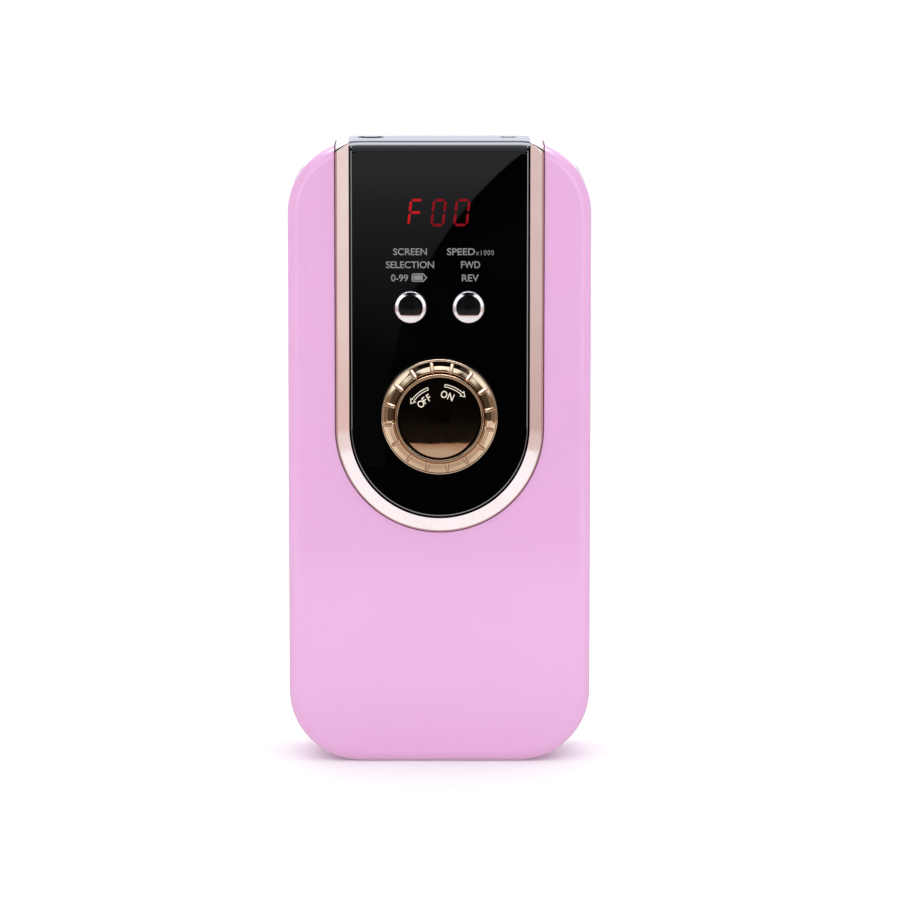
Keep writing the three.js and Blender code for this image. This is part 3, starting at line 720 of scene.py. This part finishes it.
def panel_front():
    return within(panel_skin(), block(-FAR, FAR, -FAR, PANEL_END_Y, -FAR, TALL))


def edge_band():
    """The strip just inside the sheet's outline, down to just in front of its flange."""
    return cut(u_prism(PANEL_RADIUS + 0.02, FLANGE_Y - 0.05), u_prism(PANEL_RADIUS - EDGE - 0.01))


panel = cut(panel_front(), edge_band())
panel_edge = within(panel_front(), edge_band())
# Painted highlight: the sheet's edge band is plated a lighter grey than the black sheet, to stand for the
# light its rounded edge catches; its shine still comes from the lamps.
edge_highlight_finish = plated("edge_highlight_line", (0.28, 0.28, 0.285), 0.06)
finish(panel_edge, "panel_edge", "casing", "black_gloss", material=edge_highlight_finish)
for side in SIDES:
    panel = bored(panel, "button_cap_" + side, BUTTON_HOLE)
panel = bored(panel, "knob_cap", NUT_HOLE)
finish(panel, "panel", "casing", "black_gloss", ["control_panel"])

PORT_MOUTHS = {"charge_socket": 3.1, "handpiece_socket": 1.85}
MOUTH_FLARE = 0.3
low, high = mm_box("port_plate")
plate = within(panel_skin(), block(-FAR, FAR, low.y, high.y, HEIGHT - 4, ABOVE))
for socket, radius in PORT_MOUTHS.items():
    at, flare = centre_of(socket), radius + MOUTH_FLARE
    mouth = [(0, 100), (radius, 100), (radius, high.z - 0.25), (flare, high.z + 0.05),
             (flare, ABOVE), (0, ABOVE)]
    plate = cut(plate, lathe(at.x, 0, mouth, upright=True, y=at.y))
finish(plate, "top_plate", "casing", "black_gloss", ["port_plate"])


# ---- fasteners

def cross_recess(x, z, y0, y1, arm, half):
    """A cross-shaped bit recess, with arms that shorten inwards."""
    short = arm * 0.5
    wide = loft([(y0, rectangle(x - short, x + short, z - half, z + half)),
                 (y1, rectangle(x - arm, x + arm, z - half, z + half))])
    tall = loft([(y0, rectangle(x - half, x + half, z - short, z + short)),
                 (y1, rectangle(x - half, x + half, z - arm, z + arm))])
    return joined(wide, tall)


THREAD_TURNS = 12
THREAD_PITCH = 1.1
THREAD, CORE = 1.3, 1.05
HEAD_ROUND = 0.9
FOOT_ROUND = 0.4

for corner in CORNERS:
    low, high = mm_box("casing_screw_" + corner)
    at, head, tip, top = (low + high) / 2, (high.x - low.x) / 2, low.y, high.y
    seat = top - 1.9
    profile = [(0, tip), (0.5, tip + 0.3), (1.1, tip + 1.6)]
    for k in range(THREAD_TURNS):
        y = tip + 2 + k * THREAD_PITCH
        profile += [(THREAD, y), (THREAD, y + 0.15), (CORE, y + 0.6), (CORE, y + 0.9)]
    profile += [(THREAD, seat), (head, seat), (head, seat + 0.9)]
    profile += arc(head - HEAD_ROUND, top - HEAD_ROUND, HEAD_ROUND, 0, 90, 6) + [(0, top)]
    screw = lathe(at.x, at.z, profile, 48)
    screw = cut(screw, cross_recess(at.x, at.z, top - 1.3, top + 0.01, 1.45, 0.28))
    finish(screw, "screw_" + corner, "casing", "steel", ["casing_screw_" + corner])

    low, high = mm_box("rubber_foot_" + corner)
    at, radius, top = (low + high) / 2, (high.x - low.x) / 2, high.y
    edge = arc(radius - FOOT_ROUND, top - FOOT_ROUND, FOOT_ROUND, 0, 90, 8)
    dish = [(radius - 0.9, top), (radius - 1.1, top - 0.12), (1.2, top - 0.16), (0.9, top - 0.05),
            (0, top - 0.05)]
    foot = lathe(at.x, at.z, [(0, low.y), (radius, low.y)] + edge + dish, 72)
    finish(foot, "foot_" + corner, "casing", "rubber", ["rubber_foot_" + corner])

# The label has a fine bevel, and a shallow groove as its border.
LABEL_BEVEL = 0.04
label_face = label_high.y - LABEL_BEVEL
label = loft([(label_low.y, label_outline(0)), (label_face, label_outline(0)),
              (label_high.y, label_outline(LABEL_BEVEL))])
border = cut(prism(label_outline(1.3), label_face, FAR), prism(label_outline(1.6), label_high.y - 1, FAR + 1))
finish(cut(label, border), "blank_label", "casing", "label_silver", ["rating_label"])


# ---- knob

knob_low, knob_high = mm_box("knob_body")
KNOB_Z = (knob_low.z + knob_high.z) / 2
RIM = (knob_high.z - knob_low.z) / 2
cap_low, cap_high = mm_box("knob_cap")
CAP_GROWTH = 0.3
CAP_RADIUS = (cap_high.x - cap_low.x) / 2 + CAP_GROWTH
CAP_Y = cap_low.y
RIBS = 16
RIB_PHASE = 13.8
RIB_RADIUS = 0.5

knob_profile = [
    # The hub, bored for the shaft, and the hollow back.
    (0, -17.3), (3.05, -17.3), (3.05, -14.6), (5.2, -14.6), (5.2, -16.2), (12, -16.2), (12.3, -14.05),
    # The skirt.
    (13.5, -14.05), (13.85, -14.2), (14.1, -14.6), (RIM - 0.03, -15.25), (RIM, -15.45), (RIM, -16.0),
    *arc(RIM - 0.3, -16.02, 0.3, 0, -90, 6),
    # A shallow groove, the sloping flank that carries the ribs, and its rolled upper edge.
    (14.02, -16.31), (13.9, -16.28), (13.4, -16.475), (12.95, -16.65), (12.82, -16.71), (12.72, -16.78),
    (11.84, -17.47), (11.74, -17.53), (11.64, -17.54), (11.4, -17.42), (11.33, -17.36),
    # The boss under the cap.
    (11.3, -17.12), (10.15, -17.12), (10.15, -18.1), (0, -18.1),
]
knob = lathe(0, KNOB_Z, knob_profile, 192)
shaft_flat = block(2.38, 3.25, -17.5, -14.6, KNOB_Z - 2.5, KNOB_Z + 2.5)
knob = joined(knob, shaft_flat)


CAPSULE_SIDES = 20
CAPSULE_STEPS = 5


def capsule(start, end, radius):
    """A round-ended bar between two points."""
    sides = CAPSULE_SIDES
    axis = (end - start).normalized()
    side = axis.cross(Vector((1, 0, 0))).normalized()
    other = axis.cross(side)
    turns = [QUARTER * k / CAPSULE_STEPS for k in range(1, CAPSULE_STEPS + 1)]
    rings = [(start - axis * radius * math.cos(a), radius * math.sin(a)) for a in turns]
    rings += [(end + axis * radius * math.cos(a), radius * math.sin(a)) for a in reversed(turns)]
    verts = [tuple(start - axis * radius)]
    for centre, r in rings:
        for i in range(sides):
            a = 2 * PI * i / sides
            verts.append(tuple(centre + side * r * math.cos(a) + other * r * math.sin(a)))
    verts.append(tuple(end + axis * radius))
    faces = [(0, 1 + i, 1 + (i + 1) % sides) for i in range(sides)]
    for j in range(len(rings) - 1):
        a, b = 1 + j * sides, 1 + (j + 1) * sides
        faces += [(a + i, b + i, b + (i + 1) % sides, a + (i + 1) % sides) for i in range(sides)]
    last = len(verts) - 1
    base = 1 + (len(rings) - 1) * sides
    faces += [(base + i, last, base + (i + 1) % sides) for i in range(sides)]
    return object_of(faced_out(mesh_of(verts, faces)))


for k in range(RIBS):
    angle = math.radians(RIB_PHASE + 360 * k / RIBS)
    radial = Vector((math.sin(angle), 0, math.cos(angle)))
    centre = Vector((0, 0, KNOB_Z))
    start = centre + radial * 13.3 + Vector((0, -16.38, 0))
    end = centre + radial * 11.6 + Vector((0, -17.68, 0))
    knob = joined(knob, capsule(start, end, RIB_RADIUS))
finish(knob, "knob", "knob", "gold_chrome", ["knob_body"], 24)

# The cap is a cup pressed over the boss, with a raised ring round a shallow dome.
DOME = 103.0
DOME_CREST = CAP_Y + 0.03


def dome_y(x, z):
    """Face of the dome at x, z, measured from the knob's axis."""
    return DOME_CREST + DOME - math.sqrt(DOME * DOME - x * x - z * z)


RING_Y = CAP_Y + 0.36
RING_ROUND = 0.4
ring_centre_y = RING_Y + RING_ROUND
cap_profile = [(0, -18.15), (10.2, -18.15), (10.2, -17.25), (CAP_RADIUS, -17.25), (CAP_RADIUS, ring_centre_y)]
cap_profile += arc(CAP_RADIUS - RING_ROUND, ring_centre_y, RING_ROUND, 0, -140, 14)
cap_profile += [(r, dome_y(r, 0)) for r in (10.15, 9.5, 9, 8, 7, 6, 5, 4, 3, 2, 1, 0)]
cap_finish = mirror_cap("cap_mirror", (0.49, 0.325, 0.21))
finish(lathe(0, KNOB_Z, cap_profile, 192), "knob_face", "knob", "gold_chrome", ["knob_cap"], 24, cap_finish)


def inset_ring(points, width):
    """Quads between a closed outline, given clockwise, and the same outline moved inwards."""
    count = len(points)
    inner = []
    for i in range(count):
        before, at, after = (Vector(points[k % count]) for k in (i - 1, i, i + 1))
        first, second = (at - before).normalized(), (after - at).normalized()
        normals = Vector((first.y, -first.x)), Vector((second.y, -second.x))
        bisector = (normals[0] + normals[1]).normalized()
        inner.append(tuple(at + bisector * width / max(bisector.dot(normals[0]), 0.35)))
    return [[points[i], points[(i + 1) % count], inner[(i + 1) % count], inner[i]] for i in range(count)]


def polar(radius, degrees):
    """The x and z, from the knob's axis, of a point at an angle from the top, clockwise."""
    angle = math.radians(degrees)
    return radius * math.sin(angle), radius * math.cos(angle)


def arrow_outline(start, end, radius, shaft, head, head_length):
    """A bent arrow along an arc about the knob's axis, clockwise when end is past start."""
    sign = 1 if end > start else -1
    neck = end - sign * head_length
    steps = [start + (neck - start) * k / 12 for k in range(13)]
    outline = [polar(radius + shaft / 2, a) for a in steps]
    outline += [polar(radius + head / 2, neck), polar(radius, end), polar(radius - head / 2, neck)]
    outline += [polar(radius - shaft / 2, a) for a in reversed(steps)]
    return outline if sign > 0 else outline[::-1]


MARK_THICKNESS = 0.07
MARK_SIZE = 1.75
MARK_WEIGHT = 0.012
MARK_WIDEN = 0.86


def on_dome(mesh, name):
    """Wraps a flat print round the dome and gives it thickness outwards."""
    for v in mesh.vertices:
        v.co.y = (dome_y(v.co.x / MM, v.co.z / MM) + 0.02) * MM
        v.co.z += KNOB_Z * MM
    thickened(mesh, name, "gold_chrome", mark_finish, "knob", MARK_THICKNESS)


def lettering(words, weight, spacing=1.0):
    """Words as a flat mesh, with its lowest and highest x and then y."""
    curve = bpy.data.curves.new("lettering", "FONT")
    curve.body = words
    curve.offset = weight
    curve.space_character = spacing
    text = object_of(curve)
    mesh = evaluated(text)
    bpy.data.objects.remove(text)
    xs = [v.co.x for v in mesh.vertices]
    ys = [v.co.y for v in mesh.vertices]
    return mesh, min(xs), max(xs), min(ys), max(ys)


def place_mark(letter, name, radius, degrees, turn):
    """One letter on the dome, centred at radius and degrees, and turned clockwise."""
    mesh, left, right, foot, top = lettering(letter, MARK_WEIGHT)
    middle = Vector(((left + right) / 2, (foot + top) / 2, 0))
    scale = MARK_SIZE / (top - foot)
    cx, cz = polar(radius, degrees)
    cos_t, sin_t = math.cos(math.radians(turn)), math.sin(math.radians(turn))
    for v in mesh.vertices:
        v.co = (v.co - middle) * scale
        x, z = v.co.x * MARK_WIDEN, v.co.y
        v.co = Vector(((cx + x * cos_t + z * sin_t) * MM, 0, (cz - x * sin_t + z * cos_t) * MM))
    on_dome(mesh, name)


# ---- buttons

# A slightly domed face, a flat sloping ring round it, a rounded edge, and a flange under the panel.
BUTTON_SPHERE = 16.4
BUTTON_FACE = 3.08
BUTTON_RADIUS = 3.9
BUTTON_FLANGE = 4.9
RING_SLOPE = math.radians(18.3)
BUTTON_ROUND = 0.2
ROUND_STEPS = 18


def button_profile(crown_y):
    face = (0, 0.6, 1.2, 1.8, 2.4, 2.9, BUTTON_FACE)
    profile = [(r, crown_y + BUTTON_SPHERE - math.sqrt(BUTTON_SPHERE * BUTTON_SPHERE - r * r)) for r in face]
    edge_x = BUTTON_RADIUS - BUTTON_ROUND
    ring_rise = (edge_x + BUTTON_ROUND * math.sin(RING_SLOPE) - BUTTON_FACE) * math.tan(RING_SLOPE)
    edge_y = profile[-1][1] + ring_rise + BUTTON_ROUND * math.cos(RING_SLOPE)
    for k in range(ROUND_STEPS + 1):
        angle = RING_SLOPE + (QUARTER - RING_SLOPE) * k / ROUND_STEPS
        profile.append((edge_x + BUTTON_ROUND * math.sin(angle), edge_y - BUTTON_ROUND * math.cos(angle)))
    return profile + [(BUTTON_RADIUS, -10.3), (BUTTON_FLANGE, -10.3), (BUTTON_FLANGE, -9.5), (0, -9.5)]


for side in SIDES:
    low, high = mm_box("button_cap_" + side)
    at = (low + high) / 2
    button = lathe(at.x, at.z, button_profile(low.y), 128)
    finish(button, "button_" + side, "button_" + side, "button_chrome", ["button_cap_" + side], 6)


# ---- display and legends

INK_PROUD = 0.012


def thickened(mesh, name, slot, material, body="casing", depth=INK_PROUD):
    """A flat print on the plane facing the front, given a hair of thickness outwards."""
    bm = bmesh.new()
    bm.from_mesh(mesh)
    bmesh.ops.remove_doubles(bm, verts=bm.verts, dist=1e-7)
    made = bmesh.ops.extrude_face_region(bm, geom=bm.faces[:])
    for item in made["geom"]:
        if isinstance(item, bmesh.types.BMVert):
            item.co.y -= depth * MM
    bmesh.ops.recalc_face_normals(bm, faces=bm.faces)
    bm.to_mesh(mesh)
    bm.free()
    finish(object_of(mesh), name, body, slot, material=material)


def flat_mesh(outlines, y):
    verts, faces = [], []
    for outline in outlines:
        faces.append(tuple(range(len(verts), len(verts) + len(outline))))
        verts += [(x, y, z) for x, z in outline]
    return mesh_of(verts, faces)


mark_finish = printed_ink("mark_gold", (0.80, 0.70, 0.58), 0.3)
# Letter, piece, radius, angle from the top, and turn.
MARKS = [
    ("O", "mark_off_o", 5.9, -51, -44),
    ("F", "mark_off_f", 5.9, -38.5, -38),
    ("F", "mark_off_end", 5.95, -26.5, -32),
    ("O", "mark_on_o", 6.2, 10.5, 14),
    ("N", "mark_on_n", 6.15, 27, 24),
]
for mark in MARKS:
    place_mark(*mark)
for name, start, end, radius in (("mark_off_arrow", -20, -63, 8.0), ("mark_on_arrow", 8.5, 50, 8.35)):
    arrow = arrow_outline(start, end, radius, shaft=0.78, head=1.75, head_length=9)
    on_dome(flat_mesh(inset_ring(arrow, 0.2), 0), name)

DIGIT_Z0, DIGIT_Z1 = 134.62, 141.37
SLANT = 0.11
STROKE = 0.62
SEGMENT_GAP = 0.2


def segment(name, x, width):
    """Outline of one seven-segment bar of a digit that starts at x."""
    mid = (DIGIT_Z0 + DIGIT_Z1) / 2
    half, gap = STROKE / 2, SEGMENT_GAP
    z_lines = {"a": DIGIT_Z1 - half, "g": mid, "d": DIGIT_Z0 + half}
    if name in z_lines:
        z = z_lines[name]
        x0, x1 = x + half + gap, x + width - half - gap
        shape = [(x0, z), (x0 + half, z - half), (x1 - half, z - half), (x1, z),
                 (x1 - half, z + half), (x0 + half, z + half)]
    else:
        across = x + half if name in "ef" else x + width - half
        z0, z1 = (mid, DIGIT_Z1 - half) if name in "bf" else (DIGIT_Z0 + half, mid)
        z0, z1 = z0 + gap, z1 - gap
        shape = [(across, z0), (across + half, z0 + half), (across + half, z1 - half), (across, z1),
                 (across - half, z1 - half), (across - half, z0 + half)]
    return [(px + (pz - mid) * SLANT, pz) for px, pz in shape]


bright = lit_segment("digit_bright", (0.52, 0.012, 0.016), 1.0)
dim = lit_segment("digit_dim", (0.225, 0.007, 0.012), 1.0)
for name, lit, x, width, glow_mat in (("digit_left", "aefg", -7.63, 3.5, bright),
                                      ("digit_middle", "abcdef", -1.96, 3.45, dim),
                                      ("digit_right", "abcdef", 3.67, 3.65, dim)):
    thickened(flat_mesh([segment(s, x, width) for s in lit], PANEL_Y), name, "display_red", glow_mat)

ink = printed_ink("legend_grey", (0.215, 0.215, 0.22))
CAP_HEIGHT = 1.73
SMALL_HEIGHT = 1.25
ROWS = (127.45, 124.22, 120.95)


def legend(words, name, x0, x1, z, height):
    """Words printed on the panel between x0 and x1. Small ones are lighter and spaced out."""
    weight, spacing = (0.014, 1.0) if height == CAP_HEIGHT else (0.0, 1.22)
    mesh, left, right, foot, top = lettering(words, weight, spacing)
    sx, sz = (x1 - x0) / (right - left), height / (top - foot)
    for v in mesh.vertices:
        v.co = Vector(((x0 + (v.co.x - left) * sx) * MM, PANEL_Y * MM, (z + (v.co.y - foot) * sz) * MM))
    thickened(mesh, name, "label_silver", ink)


# Words, piece, left and right ends, foot and height.
LEGENDS = [
    ("SCREEN", "legend_screen", -11.4, -3.1, ROWS[0], CAP_HEIGHT),
    ("SELECTION", "legend_selection", -13.2, -1.35, ROWS[1], CAP_HEIGHT),
    ("0-99", "legend_range", -11.95, -7.75, ROWS[2], CAP_HEIGHT),
    ("SPEED", "legend_speed", 1.85, 8.75, ROWS[0], CAP_HEIGHT),
    ("x1000", "legend_scale", 9.0, 13.4, ROWS[0], SMALL_HEIGHT),
    ("FWD", "legend_forward", 5.3, 10.0, ROWS[1], CAP_HEIGHT),
    ("REV", "legend_reverse", 5.5, 9.7, ROWS[2], CAP_HEIGHT),
]
for row in LEGENDS:
    legend(*row)

# Battery symbol: an outline with a pointed end round a filled bar.
bx0, bx1, bz0, bz1 = -6.9, -3.0, ROWS[2] - 0.1, ROWS[2] + 2.0
mid_z = (bz0 + bz1) / 2
battery = [(bx0 + 0.45, bz1), (bx1 - 0.95, bz1), (bx1, mid_z), (bx1 - 0.95, bz0), (bx0 + 0.45, bz0),
           (bx0 + 0.12, bz0 + 0.12), (bx0, bz0 + 0.45), (bx0, bz1 - 0.45), (bx0 + 0.12, bz1 - 0.12)]
charge = rounded_rectangle(bx0 + 0.45, bx1 - 1.1, bz0 + 0.45, bz1 - 0.45, 0.2, 4)
thickened(flat_mesh(inset_ring(battery, 0.3), PANEL_Y), "legend_battery", "label_silver", ink)
thickened(flat_mesh([charge], PANEL_Y), "legend_battery_charge", "label_silver", ink)


# ---- camera, lights

def stage_card(name, verts, material, camera=False, glossy=False, diffuse=False):
    """A flat card, given in metres, that only the named kinds of ray see."""
    mesh = bpy.data.meshes.new(name)
    mesh.from_pydata(verts, [], [tuple(range(len(verts)))])
    card = object_of(mesh, name)
    mesh.materials.append(material)
    card.visible_camera = camera
    card.visible_glossy = glossy
    card.visible_diffuse = diffuse
    card.visible_transmission = camera
    card.visible_shadow = False
    return card


FLOOR_REACH = 30


def floor_material():
    s = Shader("stage_floor")
    tone = s.mix(s.remap(s.noise(3, 2), 0.3, 0.7), rgb(0.93, 0.93, 0.935), rgb(0.95, 0.95, 0.95))
    s.surface(Base_Color=tone, Roughness=0.9)
    return s.mat


floor = [(x, y, 0) for x, y in rectangle(-FLOOR_REACH, FLOOR_REACH, -FLOOR_REACH, FLOOR_REACH)]
stage_card("floor", floor, floor_material(), camera=True, diffuse=True)


def glow(name, paint):
    """An unlit stage material; paint(shader) gives its colour."""
    s = Shader(name)
    lamp = s.put(s.add("ShaderNodeEmission"), Color=paint(s))
    s.put(s.tree.nodes["Material Output"], Surface=lamp.outputs[0])
    s.tree.nodes.remove(s.bsdf)
    return s.mat


TABLE_FRONT, TABLE_BACK = -0.315, 3
TABLE_SIDE = 0.4
TABLE_Z = -0.0005


def table_paint(s):
    """Bright table, with a painted shadow of the box that dims it close to the box, and copper along its
    front edge.
    """
    y = s.split(s.coords)[1]
    # Painted shadow: the table is darker from just in front of the box backwards, where the box shades it.
    table_with_box_shadow = s.mix(s.remap(y, -0.14, -0.03, smooth=True), rgb(0.94, 0.92, 0.91), rgb(0.55, 0.485, 0.435))
    return s.mix(s.remap(y, TABLE_FRONT, TABLE_FRONT + 0.045), rgb(0.62, 0.42, 0.33), table_with_box_shadow)


table = [(x, y, TABLE_Z) for x, y in rectangle(-TABLE_SIDE, TABLE_SIDE, TABLE_FRONT, TABLE_BACK)]
stage_card("table_top", table, glow("stage_table", table_paint), glossy=True)

camera_data = bpy.data.cameras.new("camera")
camera = bpy.data.objects.new("camera", camera_data)
bpy.context.scene.collection.objects.link(camera)
bpy.context.scene.camera = camera
TARGET = Vector((0, 0, 0.07775))
ELEVATION = math.radians(8.6)
DISTANCE = 1.15
camera.location = TARGET + DISTANCE * Vector((0, -math.cos(ELEVATION), math.sin(ELEVATION)))
camera.rotation_mode = "QUATERNION"
camera.rotation_quaternion = (TARGET - camera.location).to_track_quat("-Z", "Y")
camera_data.sensor_width = 36
camera_data.lens = 183.4
camera_data.shift_x = 0.01167
camera_data.shift_y = -0.0039
camera_data.clip_start, camera_data.clip_end = 0.01, 100


def area_light(name, location, target, width, height, power):
    """A white light, aimed at target, that the camera and the reflections don't see."""
    data = bpy.data.lights.new(name, "AREA")
    data.shape = "RECTANGLE"
    data.size, data.size_y = width, height
    data.energy = power
    light = bpy.data.objects.new(name, data)
    bpy.context.scene.collection.objects.link(light)
    light.location = location
    light.rotation_mode = "QUATERNION"
    light.rotation_quaternion = (Vector(target) - Vector(location)).to_track_quat("-Z", "Y")
    light.visible_glossy = False
    light.visible_camera = False


area_light("front_fill", location=(0, -1.6, 0.6), target=(0, 0, 0.08), width=1.6, height=1.2, power=2)

GLARE_Y = camera.location.y
GLARE_CENTRE = (0.1485, -0.0827)
GLARE_RADIUS = 0.1755
GLARE_BLUR = 0.0004


def glare_paint(s):
    """Soft daylight that fades downwards, cut off by a round dark edge at the lower right."""
    x, _, z = s.split(s.coords)
    reach = s.length(s.math("SUBTRACT", x, GLARE_CENTRE[0]), s.math("SUBTRACT", z, GLARE_CENTRE[1]))
    outside = s.remap(reach, GLARE_RADIUS - GLARE_BLUR, GLARE_RADIUS + GLARE_BLUR)
    level = s.remap(z, -0.045, 0.006, 0.03, 0.19)
    for low, high, more in ((0.006, 0.031, 0.16), (0.031, 0.046, 0.18), (0.95, 1.8, 1.8)):
        level = s.math("ADD", level, s.remap(z, low, high, 0.0, more))
    return s.mix(s.both(outside, level), rgb(0, 0, 0), rgb(0.98, 1.0, 1.04))


def glare_material():
    """Lit for the panel alone; to everything else it is one more patch of the dark gap."""
    s = Shader("stage_glare")
    s.surface(Base_Color=rgb(0.003, 0.003, 0.003), Roughness=1.0, Specular_IOR_Level=0.0,
              Emission_Color=glare_paint(s), Emission_Strength=1.0)
    return s.mat


glare_mat = glare_material()
receivers = bpy.data.collections.new("glare_receivers")
receivers.objects.link(bpy.data.objects["panel"])
for name, half, low, high in (("glare_low", 0.07, -0.1, 0.44), ("glare_high", 0.4, 0.75, 2.2)):
    verts = [(x, GLARE_Y, z) for x, z in rectangle(-half, half, low, high)]
    card = stage_card(name, verts, glare_mat, glossy=True)
    card.light_linking.receiver_collection = receivers


def paint_world():
    """White to the camera, an even white fill for soft light, a painted studio for reflections."""
    world = bpy.data.worlds.new("studio")
    bpy.context.scene.world = world
    world.use_nodes = True
    w = Nodes(world.node_tree)
    w.tree.nodes.clear()

    def rise(value, lo, hi):
        """0 up to lo, 1 from hi on."""
        return w.remap(value, lo, hi, smooth=True)

    def fall(value, lo, hi):
        """1 up to lo, 0 from hi on."""
        return w.remap(value, lo, hi, 1.0, 0.0, smooth=True)

    def background(color):
        return w.put(w.add("ShaderNodeBackground"), Color=color, Strength=1.0).outputs[0]

    def choose(factor, a, b):
        node = w.add("ShaderNodeMixShader")
        for socket, value in zip(node.inputs, (factor, a, b)):
            w.feed(socket, value)
        return node.outputs[0]

    # Azimuth is measured in degrees from the front, alike to both sides, and elevation from level.
    x, y, z = w.split(w.add("ShaderNodeTexCoord").outputs["Generated"])
    to_degrees = 180 / PI
    azimuth = w.both(w.math("ABSOLUTE", w.math("ARCTAN2", x, w.both(y, -1.0))), to_degrees)
    elevation = w.both(w.math("ARCSINE", z), to_degrees)

    # Warm below level, cool above it, and dim from the front corners round, up to 40 degrees.
    to_right = rise(x, -0.1, 0.1)
    low = w.mix(to_right, rgb(0.66, 0.57, 0.58), rgb(0.86, 0.72, 0.69))
    high = w.mix(to_right, rgb(0.84, 0.80, 0.80), rgb(1.00, 1.02, 1.05))
    light = w.mix(rise(elevation, -9.0, -5.5), low, high)
    light = w.mix(rise(elevation, -1.8, -1.0), light, rgb(1.20, 1.38, 1.50))
    under_40 = fall(elevation, 25, 40)
    light = w.mix(w.both(rise(azimuth, 37.5, 41), under_40), light, rgb(0.24, 0.19, 0.15))
    light = w.mix(w.both(rise(azimuth, 54, 66), under_40), light, rgb(0.08, 0.068, 0.052))
    # Copper at the sides, cool behind, a bright ceiling with a softbox, a dark band high in front.
    sides = w.both(rise(azimuth, 79, 84), fall(azimuth, 106, 118))
    light = w.mix(w.both(sides, fall(elevation, 48, 60)), light, rgb(0.62, 0.40, 0.38))
    behind = w.both(rise(azimuth, 120, 150), fall(elevation, 24, 45))
    light = w.mix(behind, light, rgb(1.13, 1.16, 1.30))
    light = w.mix(rise(elevation, 62, 68), light, rgb(1.9, 1.85, 1.95))
    softbox = w.both(rise(y, -0.12, -0.085), rise(z, 0.80, 0.93))
    light = w.mix(softbox, light, rgb(11.0, 11.4, 12.8))
    above = w.both(fall(azimuth, 44, 66), rise(elevation, 25.5, 28))
    light = w.mix(w.both(above, fall(elevation, 51, 56)), light, rgb(0.05, 0.045, 0.045))
    # The dark gap round the camera: a round top on a straight-sided foot.
    round_gap = w.length(w.math("DIVIDE", azimuth, 21.5), w.math("DIVIDE", elevation, 20.0))
    over = w.both(fall(round_gap, 0.95, 1.05), rise(elevation, -0.5, 0.5))
    under = w.both(fall(azimuth, 20, 23), fall(elevation, -0.5, 0.5))
    gap = w.both(w.math("ADD", over, under), rise(elevation, -60, -50))
    dark = w.mix(rise(elevation, -15, -5), rgb(0.017, 0.016, 0.013), rgb(0.003, 0.003, 0.003))
    light = w.mix(gap, light, dark)

    path = w.add("ShaderNodeLightPath").outputs
    fill = background(w.mix(rise(elevation, 20, 75), rgb(1.0, 1.0, 1.0), rgb(1.5, 1.5, 1.5)))
    lit = choose(path["Is Glossy Ray"], fill, background(light))
    seen = choose(path["Is Camera Ray"], lit, background(rgb(1, 1, 1)))
    w.put(w.add("ShaderNodeOutputWorld"), Surface=seen)


paint_world()
bpy.context.scene.view_settings.view_transform = "Standard"
